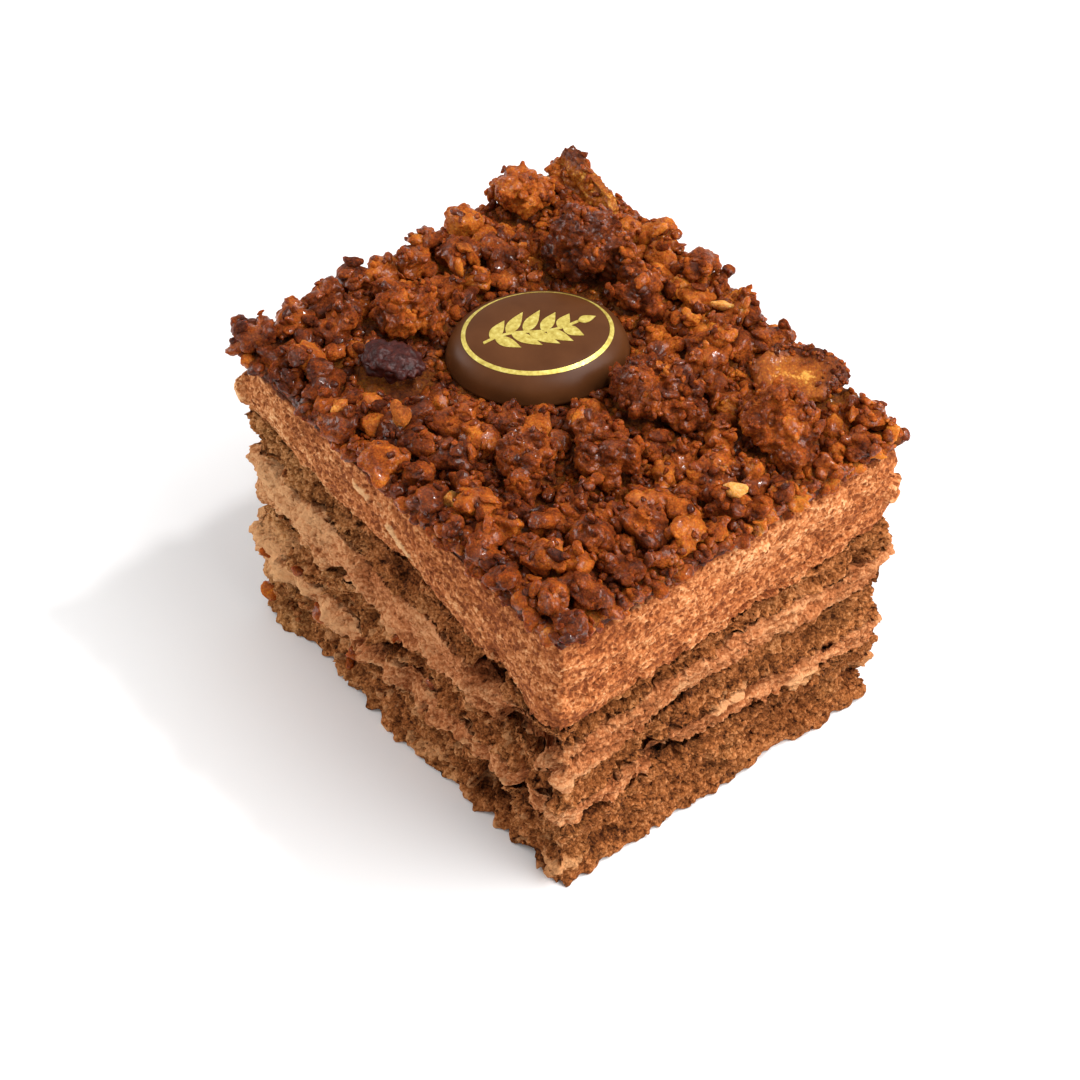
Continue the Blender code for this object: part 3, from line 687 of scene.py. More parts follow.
def along_rim(rng, count):
    """Places of small crumbs baked onto the crust's edge, some hanging over it."""
    here = []
    for k in range(count):
        run = rng.uniform(0, 2 * (LENGTH + WIDTH))
        out = rng.uniform(-0.9, 0.35)
        for side, length, reach, turn in (("front", LENGTH, WIDTH, 0), ("right", WIDTH, LENGTH, 90),
                                          ("back", LENGTH, WIDTH, 180), ("left", WIDTH, LENGTH, 270)):
            if run < length:
                break
            run -= length
        spot = Matrix.Rotation(math.radians(turn), 3, "Z") @ Vector((run - length / 2, -reach / 2 - out, 0))
        size = rng.uniform(0.5, 1.25)
        spot.z = rng.uniform(45.1, 46.2) + 0.3 * size
        half = Vector((size * rng.uniform(1, 1.5), size, size * rng.uniform(0.6, 0.9)))
        here.append((spot * MM + SHIFT, half * MM, random_turn(rng, 30), tone_at(rng, spot.y)))
    return here


def on_sides(rng, count, sides):
    """Places of loose sponge crumbs that stick to the torn sides, most of them low down."""
    here = []
    while len(here) < count:
        turn = rng.choice((0, 90, 180, 270))
        out = Matrix.Rotation(math.radians(turn), 3, "Z") @ Vector((0, -1, 0))
        along = Matrix.Rotation(math.radians(turn), 3, "Z") @ Vector((1, 0, 0))
        reach = (LENGTH if turn % 180 == 0 else WIDTH) / 2
        z = 34 * rng.random() ** 1.3
        start = along * rng.uniform(-reach, reach) + out * 60 + Vector((0, 0, z))
        hit, normal, index, away = sides.ray_cast(start * MM + SHIFT, -out)
        if hit is None:
            continue
        size = Vector((1.2, 1.0, 0.9)) * rng.uniform(0.2, 0.6)
        if hit.z > 1.5 * size.x * MM:
            here.append((hit - normal * 0.15 * size.z * MM, size * MM, random_turn(rng, 90), rng.random()))
    return here


def stuck_to_front(rng, sides):
    """Places of the caramel crumbs that stick to the front side."""
    here = []
    for x, z, size, tint in STUCK_CRUMBS:
        hit, normal, index, away = sides.ray_cast(Vector((x, -60, z)) * MM + SHIFT, Vector((0, 1, 0)))
        half = Vector((1.2, 1.0, 0.85)) * size * MM
        here.append((hit + normal * 0.1 * size * MM, half, random_turn(rng, 90), tint))
    return here


def make_cluster(node, tone, rng, grain_shapes):
    """A cluster of baked crumble: the solid's lumps, knobbly with grains, melted into one."""
    piece = copy_of_node(node)
    mesh = piece.data
    area = sum(face.area for face in mesh.polygons)
    faces = list(mesh.polygons)
    here = []
    for face in rng.choices(faces, [face.area for face in faces], k=round(area / MM ** 2 / 2.4)):
        share = [rng.random() for corner in face.vertices]
        spot = sum((mesh.vertices[v].co * s for v, s in zip(face.vertices, share)), Vector()) / sum(share)
        size = rng.choice((0.45, 0.6, 0.8, 1.1, 1.6))
        sizes = Vector((size * rng.uniform(1, 1.4), size, size * rng.uniform(0.8, 1.0))) * MM
        here.append((spot - face.normal * 0.45 * size * MM, sizes, random_turn(rng, 90), 0.0))
    join_into(piece, [joined("grains", grain_shapes, here)])
    finish_with(piece, "REMESH", mode="VOXEL", voxel_size=0.16 * MM)
    finish_with(piece, "SMOOTH", factor=0.5, iterations=2)
    roughen(piece, "CLOUDS", 1.6 * MM, 0.9 * MM, noise_depth=2)
    roughen(piece, "VORONOI", 0.7 * MM, -0.3 * MM)
    if node == "cluster_tall":
        points = places_of(piece)
        foot = points[:, 2].min()
        points[:, 2] = foot + (points[:, 2] - foot) * TALL_SQUASH
        piece.data.vertices.foreach_set("co", points.ravel())
    set_values(piece, "tint", np.full(len(piece.data.vertices), tone))
    piece.data.shade_smooth()
    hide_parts(node)
    return piece


def make_raisin():
    """The dark dried fruit: its skin drawn into fine wrinkles."""
    piece = copy_of_node("raisin")
    finish_with(piece, "SUBSURF", levels=3, render_levels=3)
    roughen(piece, "CLOUDS", 2.2 * MM, 1.2 * MM, noise_type="HARD_NOISE", noise_depth=1)
    roughen(piece, "CLOUDS", 0.7 * MM, 0.3 * MM, noise_depth=2)
    piece.data.shade_smooth()
    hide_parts("raisin")
    return piece


def make_nut_wedge():
    """The wedge of nut that stands along the back edge: orange on its face, crusted along its top."""
    bpy.ops.mesh.primitive_cube_add(size=1)
    piece = bpy.context.object
    piece.name = "nut_wedge"
    bpy.ops.object.mode_set(mode="EDIT")
    bpy.ops.mesh.select_all(action="SELECT")
    bpy.ops.transform.resize(value=(12.4 * MM, 2.7 * MM, 4.6 * MM))
    bpy.ops.object.mode_set(mode="OBJECT")
    select_faces(piece, lambda face: face.normal.x > 0.5)
    bpy.ops.object.mode_set(mode="EDIT")
    bpy.ops.transform.resize(value=(1, 0.7, 0.6))
    bpy.ops.transform.translate(value=(0, 0, -0.7 * MM))
    bpy.ops.object.mode_set(mode="OBJECT")
    select_faces(piece, lambda face: face.normal.z > 0.5)
    bpy.ops.object.mode_set(mode="EDIT")
    bpy.ops.transform.resize(value=(0.8, 0.55, 1))
    bpy.ops.object.mode_set(mode="OBJECT")
    piece.data.transform(Matrix.Translation(Vector((-24.9, 24.0, 48.8)) * MM + SHIFT)
                         @ Euler((math.radians(-16), 0, math.radians(-2))).to_matrix().to_4x4())
    finish_with(piece, "SUBSURF", subdivision_type="SIMPLE", levels=6, render_levels=6)
    finish_with(piece, "SMOOTH", factor=0.5, iterations=8)
    roughen(piece, "CLOUDS", 2.4 * MM, 1.3 * MM, noise_depth=2)
    roughen(piece, "VORONOI", 0.9 * MM, -0.35 * MM)
    points = places_of(piece)
    height = (points[:, 2] - points[:, 2].min()) / MM
    ragged = 0.25 * clouds_at(points, 1.2)
    set_values(piece, "rim", 0.2 + 0.6 * smooth_step((height - 3.7) / 1.2 + ragged))
    piece.data.shade_smooth()
    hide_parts("cluster_back")
    return piece


def make_nut_slice(rng, grain_shapes):
    """The caramelised nut slice: it slopes to the front, with a pale spot there and a dark crusted far rim."""
    piece = copy_of_node("nut_slice")
    low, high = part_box("nut_slice")
    finish_with(piece, "SUBSURF", levels=3, render_levels=3)
    points = places_of(piece)
    middle = (low + high) / 2
    angle = math.radians(TOPPINGS["nut_slice"][4])
    half_length, half_width = TOPPINGS["nut_slice"][2] / 2, TOPPINGS["nut_slice"][3] / 2
    along = ((points[:, 0] - middle[0]) * math.cos(angle) + (points[:, 1] - middle[1]) * math.sin(angle)) / MM
    across = ((points[:, 1] - middle[1]) * math.cos(angle) - (points[:, 0] - middle[0]) * math.sin(angle)) / MM
    rise = (points[:, 2] - low.z) / (high.z - low.z)
    points[:, 2] -= rise * NUT_SLOPE * (half_width - across) * MM
    piece.data.vertices.foreach_set("co", points.ravel())
    piece.data.transform(Matrix.Translation(middle) @ Matrix.Rotation(math.radians(NUT_TURN), 4, "Z")
                         @ Matrix.Translation(-middle))
    roughen(piece, "CLOUDS", 3.0 * MM, 0.7 * MM, noise_depth=1)
    roughen(piece, "VORONOI", 0.8 * MM, -0.16 * MM)
    pale = np.clip(np.hypot((along - NUT_PALE[0]) / NUT_PALE[2], (across - NUT_PALE[1]) / NUT_PALE[3]), 0, 1.5)
    far = smooth_step((across - 1.9) / 0.9)
    ends = smooth_step((abs(along) - half_length + 1.8) / 1.6) + smooth_step((along - 2.6) / 2)
    set_values(piece, "rim", np.clip(0.24 * pale + 0.7 * far + 0.25 * ends, 0, 1.2))
    piece.data.shade_smooth()
    here = []
    for k in rng.choices(range(len(points)), [float(0.02 + a + 0.5 * b) for a, b in zip(far, ends)], k=190):
        size = rng.uniform(0.18, 0.42)
        half = Vector((size * rng.uniform(1, 1.4), size, size * 0.8)) * MM
        here.append((piece.data.vertices[k].co.copy(), half, random_turn(rng, 60), rng.uniform(0, 0.7)))
    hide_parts("nut_slice")
    return piece, joined("nut_crust", grain_shapes, here)


# The medallion

def make_medallion():
    """The moulded chocolate: an oval drawn up row by row to its crowned face."""
    x, y, length, width, turn = TOPPINGS["medallion"]
    low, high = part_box("medallion")
    bpy.ops.mesh.primitive_circle_add(vertices=144, radius=1, fill_type="NGON")
    piece = bpy.context.object
    piece.name = "medallion_smooth"
    bpy.ops.object.mode_set(mode="EDIT")
    bpy.ops.mesh.select_all(action="SELECT")
    bpy.ops.transform.resize(value=(length / 2 * MM, width / 2 * MM, 1))
    for (inset, rise), (next_inset, next_rise) in zip(MEDALLION_ROWS, MEDALLION_ROWS[1:]):
        bpy.ops.mesh.extrude_region_move(
            TRANSFORM_OT_translate={"value": (0, 0, (next_rise - rise) * MEDALLION_THICKNESS * MM)})
        bpy.ops.transform.resize(value=(
            (length / 2 - next_inset) / (length / 2 - inset),
            (width / 2 - next_inset) / (width / 2 - inset), 1))
    bpy.ops.mesh.select_all(action="SELECT")
    bpy.ops.mesh.normals_make_consistent(inside=False)
    bpy.ops.object.mode_set(mode="OBJECT")
    finish_with(piece, "SUBSURF", levels=1, render_levels=1)
    place = Matrix.Translation(Vector(((low.x + high.x) / 2, (low.y + high.y) / 2, low.z)))
    piece.data.transform(place @ Matrix.Rotation(math.radians(turn), 4, "Z"))
    piece.data.shade_smooth()
    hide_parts("medallion")
    return piece, place @ Matrix.Rotation(math.radians(turn), 4, "Z")


def flat_outline(name, outlines):
    """Flat shapes in the plane of the medallion's face, each filled from its outline in millimetres."""
    points, faces = [], []
    for outline in outlines:
        faces.append(tuple(range(len(points), len(points) + len(outline))))
        points += [(x * MM, y * MM, 8 * MM) for x, y in outline]
    mesh = bpy.data.meshes.new(name)
    mesh.from_pydata(points, [], faces)
    piece = bpy.data.objects.new(name, mesh)
    bpy.context.scene.collection.objects.link(piece)
    return piece


def leaf(x, y, length, width, turn):
    """The outline of a pointed leaf whose foot is at x, y."""
    angle = math.radians(turn)
    outline = []
    for k in range(28):
        t = k / 14
        along = length * (t if t <= 1 else 2 - t)
        share = along / length
        across = (1 if t <= 1 else -1) * width / 2 * math.sin(math.pi * share ** 0.8) * (1 - 0.25 * share)
        outline.append((x + along * math.cos(angle) - across * math.sin(angle),
                        y + along * math.sin(angle) + across * math.cos(angle)))
    return outline


def ribbon(half_length, half_width, breadth, thin_at, sides=180):
    """The oval line as quads between its outer and its inner edge; it thins to a hair at one place."""
    quads = []
    for k in range(sides):
        corners = []
        for step, edge in ((k, 0.5), (k + 1, 0.5), (k + 1, -0.5), (k, -0.5)):
            angle = math.tau * step / sides
            away = abs(math.remainder(angle - math.radians(thin_at), math.tau))
            here = breadth * min(1, max(0.16, (away - 0.35) / 0.9)) * edge
            corners.append(((half_length + here) * math.cos(angle), (half_width + here) * math.sin(angle)))
        quads.append(corners)
    return quads


def make_gold(medallion, place):
    """The gold print on the face: an oval line and, inside it, a sprig of pointed leaves."""
    shapes = ribbon(*GOLD_LINE)
    stem = [(-6.9 + 0.52 * k, 0.5 * math.sin(0.5 * k * 0.55) - 0.2) for k in range(24)]
    sprig = [[(x, y + 0.2) for x, y in stem] + [(x, y - 0.2) for x, y in reversed(stem)]]
    for k, length in zip(range(2, 22, 4), (3.6, 4.3, 4.3, 3.7, 2.9)):
        x, y = stem[k]
        sprig.append(leaf(x, y, length, 1.75, 46))
        x, y = stem[k + 1]
        sprig.append(leaf(x, y, length, 1.75, -46))
    sprig.append(leaf(*stem[-1], 2.4, 1.4, 8))
    turn = complex(math.cos(math.radians(SPRIG_TURN)), math.sin(math.radians(SPRIG_TURN)))
    for outline in sprig:
        turned = [complex(x, y) * turn for x, y in outline]
        shapes.append([(point.real, point.imag) for point in turned])
    piece = flat_outline("gold_print", shapes)
    select_only(piece)
    bpy.ops.object.mode_set(mode="EDIT")
    bpy.ops.mesh.select_all(action="SELECT")
    bpy.ops.mesh.remove_doubles(threshold=0.001 * MM)
    bpy.ops.mesh.quads_convert_to_tris()
    bpy.ops.mesh.normals_make_consistent(inside=False)
    bpy.ops.object.mode_set(mode="OBJECT")
    piece.data.transform(place)
    finish_with(piece, "SHRINKWRAP", target=medallion, wrap_method="PROJECT", use_project_z=True,
                use_negative_direction=True, use_positive_direction=False, offset=0.01 * MM)
    finish_with(piece, "SOLIDIFY", thickness=GOLD_THICKNESS * MM, offset=1)
    return piece


# Materials

GRAIN_OUTPUTS = ("Height", "Speckle", "Own", "Gap", "Speck")


def add_node(tree, kind, inputs=None, **settings):
    """Adds a node, with its settings and with each input set or linked."""
    node = tree.nodes.new(kind)
    for key, value in settings.items():
        setattr(node, key, value)
    for key, value in (inputs or {}).items():
        if isinstance(value, bpy.types.NodeSocket):
            tree.links.new(value, node.inputs[key])
        else:
            node.inputs[key].default_value = value
    return node


def number(tree, operation, first, second=0.0, third=0.0):
    return add_node(tree, "ShaderNodeMath", {0: first, 1: second, 2: third}, operation=operation).outputs[0]


def mixed(tree, share, first, second, blend="MIX"):
    node = add_node(tree, "ShaderNodeMix", {0: share, 6: first, 7: second}, data_type="RGBA", blend_type=blend)
    return node.outputs[2]


def ramp(tree, value, stops):
    """A colour ramp over value, from pairs of a place and a colour."""
    node = add_node(tree, "ShaderNodeValToRGB", {0: value})
    elements = node.color_ramp.elements
    while len(elements) < len(stops):
        elements.new(0.5)
    for element, (place, colour) in zip(elements, stops):
        element.position = place
        element.color = (*colour, 1)
    return node.outputs[0]


def grain_group():
    """Shared effect: grains stuck together. Puts out a height, a speckle, each grain's own tone, the gaps, which the
    materials darken as painted shade, and the specks, which they lighten as painted glints.
    """
    tree = bpy.data.node_groups.new("grain", "ShaderNodeTree")
    tree.interface.new_socket("Scale", in_out="INPUT", socket_type="NodeSocketFloat")
    for name in GRAIN_OUTPUTS:
        tree.interface.new_socket(name, in_out="OUTPUT", socket_type="NodeSocketFloat")
    scale = tree.nodes.new("NodeGroupInput").outputs["Scale"]
    place = add_node(tree, "ShaderNodeTexCoord").outputs["Object"]
    drift = add_node(tree, "ShaderNodeTexNoise", {"Vector": place, "Scale": scale, "Detail": 2.0})
    bent = add_node(tree, "ShaderNodeVectorMath", {0: drift.outputs["Color"], 1: (0.0004, 0.0004, 0.0004), 2: place},
                    operation="MULTIPLY_ADD").outputs[0]
    cells = add_node(tree, "ShaderNodeTexVoronoi", {"Vector": bent, "Scale": scale, "Randomness": 1.0})
    fine = add_node(tree, "ShaderNodeTexNoise", {
        "Vector": place, "Scale": number(tree, "MULTIPLY", scale, 2.3), "Detail": 3.0, "Roughness": 0.6})
    gap = number(tree, "POWER", cells.outputs["Distance"], 2.0)
    height = number(tree, "MULTIPLY_ADD", fine.outputs["Fac"], 0.8, number(tree, "SUBTRACT", 1.0, gap))
    colour = add_node(tree, "ShaderNodeTexNoise", {
        "Vector": bent, "Scale": number(tree, "MULTIPLY", scale, 0.55), "Detail": 4.0, "Roughness": 0.72})
    own = add_node(tree, "ShaderNodeSeparateColor", {0: cells.outputs["Color"]}).outputs[0]
    # the specks: the peaks of the fine noise, which the materials paint lighter as tiny painted glints
    speck = add_node(tree, "ShaderNodeMapRange", {
        "Value": fine.outputs["Fac"], "From Min": 0.58, "From Max": 0.72}).outputs[0]
    out = tree.nodes.new("NodeGroupOutput")
    for name, value in zip(GRAIN_OUTPUTS, (height, colour.outputs["Fac"], own, gap, speck)):
        tree.links.new(value, out.inputs[name])
    return tree


def pit_group():
    """Shared effect: small round pits of open crumb. Puts out how deep in a pit each spot is."""
    tree = bpy.data.node_groups.new("pits", "ShaderNodeTree")
    tree.interface.new_socket("Scale", in_out="INPUT", socket_type="NodeSocketFloat")
    tree.interface.new_socket("Share", in_out="INPUT", socket_type="NodeSocketFloat")
    tree.interface.new_socket("Pit", in_out="OUTPUT", socket_type="NodeSocketFloat")
    group_input = tree.nodes.new("NodeGroupInput")
    scale, share = group_input.outputs["Scale"], group_input.outputs["Share"]
    place = add_node(tree, "ShaderNodeTexCoord").outputs["Object"]
    drift = add_node(tree, "ShaderNodeTexNoise", {"Vector": place, "Scale": scale, "Detail": 2.0})
    bent = add_node(tree, "ShaderNodeVectorMath", {0: drift.outputs["Color"], 1: (0.0005, 0.0005, 0.0005), 2: place},
                    operation="MULTIPLY_ADD").outputs[0]
    cells = add_node(tree, "ShaderNodeTexVoronoi", {"Vector": bent, "Scale": scale, "Randomness": 1.0})
    own = add_node(tree, "ShaderNodeSeparateColor", {0: cells.outputs["Color"]}).outputs[0]
    reach = number(tree, "MULTIPLY", number(tree, "SUBTRACT", share, own), 0.9)
    pit = number(tree, "MULTIPLY", number(tree, "SUBTRACT", reach, cells.outputs["Distance"]), 5.0)
    pit = add_node(tree, "ShaderNodeClamp", {0: pit}).outputs[0]
    out = tree.nodes.new("NodeGroupOutput")
    tree.links.new(pit, out.inputs["Pit"])
    return tree


def new_material(name, roughness):
    material = bpy.data.materials.new(name)
    material.use_nodes = True
    shader = material.node_tree.nodes["Principled BSDF"]
    shader.inputs["Roughness"].default_value = roughness
    return material, material.node_tree, shader


def grain_in(tree, grain, scale):
    node = add_node(tree, "ShaderNodeGroup", node_tree=grain)
    node.inputs["Scale"].default_value = scale
    return [node.outputs[name] for name in GRAIN_OUTPUTS]


def summed(tree, value, *terms):
    """The value with each of these added: a socket, how strongly it counts and where it is neutral."""
    for socket, strength, neutral in terms:
        value = number(tree, "ADD", value, number(tree, "MULTIPLY_ADD", socket, strength, -strength * neutral))
    return value


def pits_in(tree, pits, scale, share):
    node = add_node(tree, "ShaderNodeGroup", node_tree=pits)
    node.inputs["Scale"].default_value = scale
    node.inputs["Share"].default_value = share
    return node.outputs["Pit"]


def torn_material(name, grain, pits, size, light, pit_size, pit_share, painted_pit_shade, colours, pale_colour, bump):
    """A cut side: painted shade in its pores, tears and grain gaps, painted light on its standing crumbs and tiny
    painted glints, paler where cream is smeared over it.
    """
    material, tree, shader = new_material(name, 0.9)
    place = add_node(tree, "ShaderNodeTexCoord").outputs["Object"]
    height, speckle, own, gap, speck = grain_in(tree, grain, 1 / (size * MM))
    pit = pits_in(tree, pits, 1 / (pit_size * MM), pit_share)
    relief, pale, stain, grey_patches_and_painted_light = (
        add_node(tree, "ShaderNodeAttribute", attribute_name=layer).outputs["Fac"]
        for layer in ("relief", "pale", "stain", "grey_patches_and_painted_light"))
    patches = add_node(tree, "ShaderNodeTexNoise", {
        "Vector": add_node(tree, "ShaderNodeMapping", {"Vector": place, "Scale": (1, 1, 2.0)}).outputs[0],
        "Scale": 210.0, "Detail": 3.0}).outputs["Fac"]
    # painted shade and light: deep tears and pores darker, standing crumbs lighter, from the relief; below, the
    # grain gaps and pits darker (painted shade) and the specks lighter (painted glints)
    share = number(tree, "MULTIPLY_ADD", relief, 0.28, light)
    share = summed(tree, share, (pale, 0.4, 0), (speckle, 1.0, 0.5), (patches, 0.7, 0.5), (own, 0.3, 0.5),
                   (gap, -0.4, 0), (pit, -painted_pit_shade, 0), (speck, 0.22, 0))
    colour = ramp(tree, share, list(zip((0.08, 0.36, 0.6, 0.9), colours)))
    # greyer and lighter in random patches, and as painted light over the front side, most at its far end
    colour = mixed(tree, grey_patches_and_painted_light, colour, (1.12, 1.42, 1.6, 1), "MULTIPLY")
    smear = add_node(tree, "ShaderNodeMapRange", {"Value": pale, "From Min": 0.35, "From Max": 0.95}).outputs[0]
    smear = number(tree, "MULTIPLY", smear, number(tree, "MULTIPLY_ADD", speckle, 1.4, 0.2))
    colour = mixed(tree, smear, colour, (*pale_colour, 1))
    colour = mixed(tree, number(tree, "MULTIPLY", stain, 0.9), colour, (0.075, 0.020, 0.012, 1))
    tree.links.new(colour, shader.inputs["Base Color"])
    depth = number(tree, "SUBTRACT", height, number(tree, "MULTIPLY", pit, 1.4))
    normal = add_node(tree, "ShaderNodeBump", {"Height": depth, "Distance": bump * MM, "Strength": 0.9})
    tree.links.new(normal.outputs[0], shader.inputs["Normal"])
    shader.inputs["Specular IOR Level"].default_value = 0.12
    return material


def caramel_material(name, grain, colours, shine):
    """Baked caramelised crumble: orange where it is thin, darker in the gaps between its grains as painted shade,
    with tiny painted glints, wet with glaze in spots.
    """
    material, tree, shader = new_material(name, 0.45)
    place = add_node(tree, "ShaderNodeTexCoord").outputs["Object"]
    height, speckle, own, gap, speck = grain_in(tree, grain, 1 / (0.26 * MM))
    tint = add_node(tree, "ShaderNodeAttribute", attribute_name="tint").outputs["Fac"]
    patches = add_node(tree, "ShaderNodeTexNoise", {"Vector": place, "Scale": 380.0, "Detail": 3.0}).outputs["Fac"]
    share = number(tree, "MULTIPLY_ADD", tint, 0.5, 0.28)
    # the grain gaps darker as painted shade, the specks lighter as painted glints
    share = summed(tree, share, (patches, 1.1, 0.5), (speckle, 0.5, 0.5), (own, 0.15, 0.5), (gap, -0.25, 0),
                   (speck, 0.15, 0))
    colour = ramp(tree, share, list(zip((0.1, 0.38, 0.64, 0.95), colours)))
    tree.links.new(colour, shader.inputs["Base Color"])
    glaze = add_node(tree, "ShaderNodeTexNoise", {"Vector": place, "Scale": 700.0, "Detail": 3.0}).outputs["Fac"]
    wet = add_node(tree, "ShaderNodeMapRange", {
        "Value": glaze, "From Min": 0.46, "From Max": 0.6, "To Min": 0.04 * shine, "To Max": shine}).outputs[0]
    tree.links.new(wet, shader.inputs["Coat Weight"])
    tree.links.new(number(tree, "MULTIPLY_ADD", glaze, -0.5, 0.8), shader.inputs["Roughness"])
    normal = add_node(tree, "ShaderNodeBump", {"Height": height, "Distance": 0.14 * MM, "Strength": 0.8})
    tree.links.new(normal.outputs[0], shader.inputs["Normal"])
    shader.inputs["Specular IOR Level"].default_value = 0.07
    shader.inputs["Coat Roughness"].default_value = 0.12
    shader.inputs["Coat IOR"].default_value = 1.38
    shader.inputs["Subsurface Weight"].default_value = 0.4
    shader.inputs["Subsurface Radius"].default_value = (1.0, 0.3, 0.08)
    shader.inputs["Subsurface Scale"].default_value = 1.2 * MM
    return material


def nut_material(grain):
    """Nut toasted in caramel: pale where its rim value is low, then orange, then a burnt crust."""
    material, tree, shader = new_material("toasted_nut", 0.45)
    height, speckle, own, gap, speck = grain_in(tree, grain, 1 / (0.35 * MM))
    rim = add_node(tree, "ShaderNodeAttribute", attribute_name="rim").outputs["Fac"]
    place = add_node(tree, "ShaderNodeTexCoord").outputs["Object"]
    patches = add_node(tree, "ShaderNodeTexNoise", {"Vector": place, "Scale": 350.0, "Detail": 3.0}).outputs["Fac"]
    # the grain gaps count towards the dark end: painted shade
    share = summed(tree, rim, (speckle, 0.9, 0.5), (patches, 0.8, 0.5), (own, 0.2, 0.5), (gap, 0.25, 0))
    colour = ramp(tree, share, ((0.0, (0.70, 0.34, 0.060)), (0.2, (0.39, 0.108, 0.009)),
                                (0.45, (0.25, 0.054, 0.005)), (0.9, (0.080, 0.016, 0.004))))
    tree.links.new(colour, shader.inputs["Base Color"])
    normal = add_node(tree, "ShaderNodeBump", {"Height": height, "Distance": 0.14 * MM, "Strength": 0.8})
    tree.links.new(normal.outputs[0], shader.inputs["Normal"])
    shader.inputs["Specular IOR Level"].default_value = 0.12
    shader.inputs["Coat Weight"].default_value = 0.2
    shader.inputs["Coat Roughness"].default_value = 0.16
    shader.inputs["Subsurface Weight"].default_value = 0.25
    shader.inputs["Subsurface Scale"].default_value = 1.0 * MM
    return material


def raisin_material(grain):
    material, tree, shader = new_material("dried_fruit", 0.36)
    height, speckle, own, gap, speck = grain_in(tree, grain, 1 / (0.5 * MM))
    colour = ramp(tree, speckle, (
        (0.3, (0.014, 0.003, 0.002)), (0.55, (0.048, 0.008, 0.006)), (0.8, (0.14, 0.028, 0.012))))
    tree.links.new(colour, shader.inputs["Base Color"])
    normal = add_node(tree, "ShaderNodeBump", {"Height": height, "Distance": 0.1 * MM, "Strength": 0.8})
    tree.links.new(normal.outputs[0], shader.inputs["Normal"])
    shader.inputs["Specular IOR Level"].default_value = 0.25
    return material


def chocolate_material():
    """Tempered milk-dark chocolate: satin, with the faint cloudiness of a moulded face."""
    material, tree, shader = new_material("moulded_chocolate", 0.36)
    place = add_node(tree, "ShaderNodeTexCoord").outputs["Object"]
    cloud = add_node(tree, "ShaderNodeTexNoise", {"Vector": place, "Scale": 260.0, "Detail": 3.0}).outputs["Fac"]
    colour = ramp(tree, cloud, ((0.3, (0.075, 0.0243, 0.0070)), (0.7, (0.096, 0.0323, 0.0096))))
    tree.links.new(colour, shader.inputs["Base Color"])
    tree.links.new(number(tree, "MULTIPLY_ADD", cloud, 0.16, 0.3), shader.inputs["Roughness"])
    shader.inputs["Specular IOR Level"].default_value = 0.16
    fine = add_node(tree, "ShaderNodeTexNoise", {"Vector": place, "Scale": 1500.0, "Detail": 2.0}).outputs["Fac"]
    normal = add_node(tree, "ShaderNodeBump", {"Height": fine, "Distance": 0.01 * MM, "Strength": 0.5})
    tree.links.new(normal.outputs[0], shader.inputs["Normal"])
    return material


def gold_material():
    material, tree, shader = new_material("gold_print", 0.35)
    place = add_node(tree, "ShaderNodeTexCoord").outputs["Object"]
    fine = add_node(tree, "ShaderNodeTexNoise", {"Vector": place, "Scale": 1800.0, "Detail": 3.0}).outputs["Fac"]
    colour = ramp(tree, fine, ((0.3, (0.50, 0.36, 0.06)), (0.55, (0.72, 0.57, 0.13)), (0.8, (0.88, 0.78, 0.27))))
    tree.links.new(colour, shader.inputs["Base Color"])
    shader.inputs["Metallic"].default_value = 0.5
    normal = add_node(tree, "ShaderNodeBump", {"Height": fine, "Distance": 0.02 * MM, "Strength": 0.6})
    tree.links.new(normal.outputs[0], shader.inputs["Normal"])
    return material


def wear(pieces, material, slot=""):
    """Gives the pieces this one material and lets them ride on the cake."""
    for piece in pieces:
        piece.data.materials.clear()
        piece.data.materials.append(material)
        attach(piece, "root")


# The stage

def set_the_stage():
    """A plain pale floor, soft studio light and the camera."""
    bpy.ops.mesh.primitive_plane_add(size=FLOOR_SIZE, location=(0, 0, 0))
    floor = bpy.context.object
    floor.name = "floor"
    material, tree, shader = new_material("floor", 0.7)
    shader.inputs["Base Color"].default_value = (0.9, 0.9, 0.9, 1)
    floor.data.materials.append(material)

    world = bpy.data.worlds.new("studio")
    bpy.context.scene.world = world
    world.use_nodes = True
    world.node_tree.nodes["Background"].inputs["Color"].default_value = (1, 1, 1, 1)
    world.node_tree.nodes["Background"].inputs["Strength"].default_value = 0.57

    for name, place, size, power in (
        ("key", (360, 200, 420), 520, 4.25),
        ("fill", (-250, -190, 190), 200, 0.50),
        ("spark", (120, 200, 520), 40, 1.0),
    ):
        bpy.ops.object.light_add(type="AREA", location=Vector(place) * MM)
        light = bpy.context.object
        light.name = name
        light.data.energy = power
        light.data.size = size * MM
        light.rotation_euler = (-light.location).to_track_quat("-Z", "Y").to_euler()

    bpy.ops.object.camera_add(location=CAMERA_AT)
    camera = bpy.context.object
    camera.rotation_euler = (CAMERA_LOOKS_AT - CAMERA_AT).to_track_quat("-Z", "Y").to_euler()
    camera.data.lens = CAMERA_LENS
    camera.data.sensor_width = SENSOR_WIDTH
    camera.data.clip_start = 10 * MM
    camera.data.clip_end = 10
    bpy.context.scene.camera = camera
    bpy.context.scene.view_settings.view_transform = "Standard"


# Putting the cake together

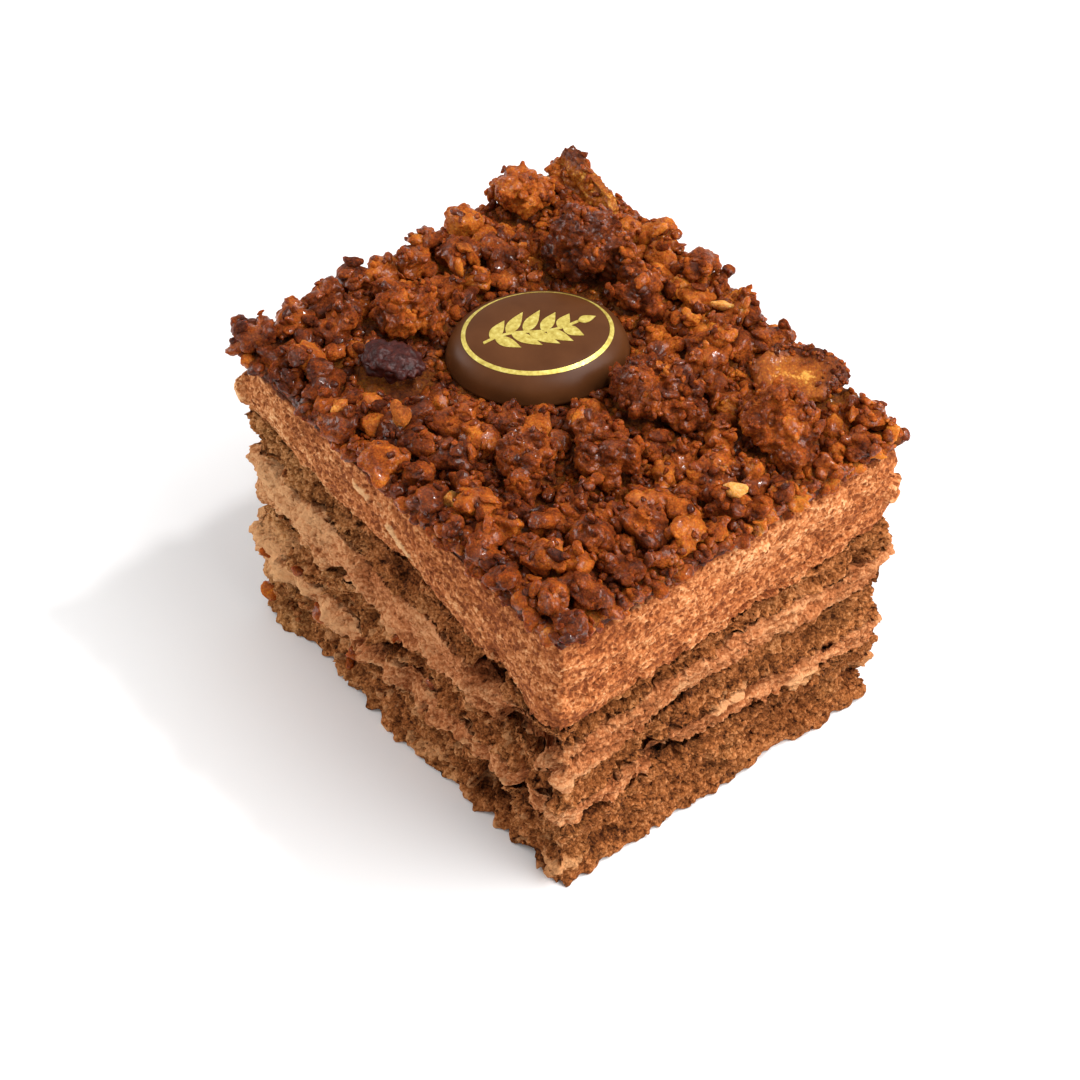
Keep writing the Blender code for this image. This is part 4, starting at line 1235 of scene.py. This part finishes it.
def dress_the_top(rng, grain):
    """The crumble with all that lies on it, and the medallion."""
    stock = [nugget(rng, 7) for k in range(12)]
    grain_shapes = [baked_lump(rng, stock, 2, 0.3, 56, 3) for k in range(12)]
    bit_shapes = [baked_lump(rng, stock, 2, 0.16, 180, 4) for k in range(14)]
    crumbs = make_crumbs(stock)
    clusters = [make_cluster(node, tone, rng, bit_shapes) for node, tone in CLUSTER_TONES.items()]
    for piece in stock:
        bpy.data.objects.remove(piece)
    crust = make_crust()
    raisin = make_raisin()
    nut, nut_crust = make_nut_slice(rng, grain_shapes)
    wedge = make_nut_wedge()

    rim = joined("crumbs_rim", bit_shapes, along_rim(rng, 340))
    bedded = ("medallion", "raisin", "nut_slice")
    fine = joined("crumbs_fine", bit_shapes, strewn(
        rng, 700, surface_of([crust, *crumbs, *clusters]), ((0.6, 1.35), (0.5, 1.05), (0.4, 0.85)), 0.3, bedded,
        (0.0, 0.55), 0.85))
    ground = surface_of([crust, *crumbs, *clusters, wedge, fine, rim])
    grains = joined("grains_loose", grain_shapes, strewn(
        rng, 1300, ground, ((0.3, 0.7), (0.25, 0.55), (0.2, 0.45)), 0.35, bedded, (0.0, 0.7), 0.6))
    nibs = joined("nibs", bit_shapes, strewn(
        rng, 26, ground, ((1.0, 1.5), (0.55, 0.75), (0.4, 0.55)), 0.25, list(TOPPINGS), (0.7, 1.0)))
    bits = joined("nut_bits", bit_shapes, [
        onto(ground, x, y, size, 0.0, random_turn(rng, 20), tint) for x, y, size, tint in NUT_BITS])

    caramel = caramel_material("caramel_crumble", grain, (
        (0.052, 0.0090, 0.0025), (0.168, 0.0305, 0.0046), (0.36, 0.078, 0.0085), (0.60, 0.190, 0.022)), 0.95)
    wear([*crumbs, *clusters, grains, fine, rim, nibs, nut_crust], caramel, "crumble")
    wear([crust], caramel_material("baked_crust", grain, (
        (0.045, 0.010, 0.005), (0.120, 0.028, 0.006), (0.24, 0.070, 0.008), (0.40, 0.150, 0.015)), 0.3), "crumble")
    wear([bits], caramel_material("nut_pieces", grain, (
        (0.20, 0.045, 0.008), (0.46, 0.125, 0.018), (0.66, 0.28, 0.060), (0.80, 0.48, 0.16)), 0.2), "nut")
    wear([raisin], raisin_material(grain), "dried_fruit")
    wear([nut, wedge], nut_material(grain), "nut")

    medallion, place = make_medallion()
    wear([medallion], chocolate_material(), "chocolate")
    wear([make_gold(medallion, place)], gold_material())
    return caramel, grain_shapes, bit_shapes


def dress_the_sides(rng, grain, caramel, grain_shapes, bit_shapes):
    """The torn layers, the loose crumbs on the sponges and the caramel crumbs stuck to the front side."""
    pits = pit_group()
    looks = {
        "sponge": torn_material("cocoa_sponge", grain, pits, 0.34, 0.675, 0.6, 0.5, 0.35, (
            (0.045, 0.011, 0.003), (0.18, 0.051, 0.012), (0.34, 0.107, 0.027), (0.58, 0.23, 0.082)),
            (0.66, 0.34, 0.15), 0.16),
        "cream": torn_material("cocoa_cream", grain, pits, 0.38, 0.73, 0.7, 0.35, 0.3, (
            (0.09, 0.024, 0.007), (0.28, 0.080, 0.023), (0.45, 0.150, 0.050), (0.64, 0.28, 0.118)),
            (0.72, 0.38, 0.17), 0.13),
        "mousse": torn_material("aerated_mousse", grain, pits, 0.42, 0.60, 0.6, 0.85, 0.34, (
            (0.22, 0.052, 0.014), (0.40, 0.112, 0.030), (0.60, 0.213, 0.073), (0.82, 0.42, 0.19)),
            (0.76, 0.44, 0.21), 0.15),
    }
    layers = []
    for node in LAYERS:
        layers.append(make_layer(node))
        kind = node.split("_")[0]
        wear([layers[-1]], looks[kind], kind)
    sponges = [layer for layer in layers if layer.name.startswith("sponge")]
    side_crumbs = joined("side_crumbs", grain_shapes, on_sides(rng, 420, surface_of(sponges)))
    wear([side_crumbs], looks["sponge"], "sponge")
    stuck = joined("crumbs_stuck", bit_shapes, stuck_to_front(rng, surface_of(layers)))
    wear([stuck], caramel, "crumble")


set_the_stage()
rng = random.Random(7)
grain = grain_group()
shared = dress_the_top(rng, grain)
dress_the_sides(rng, grain, *shared)
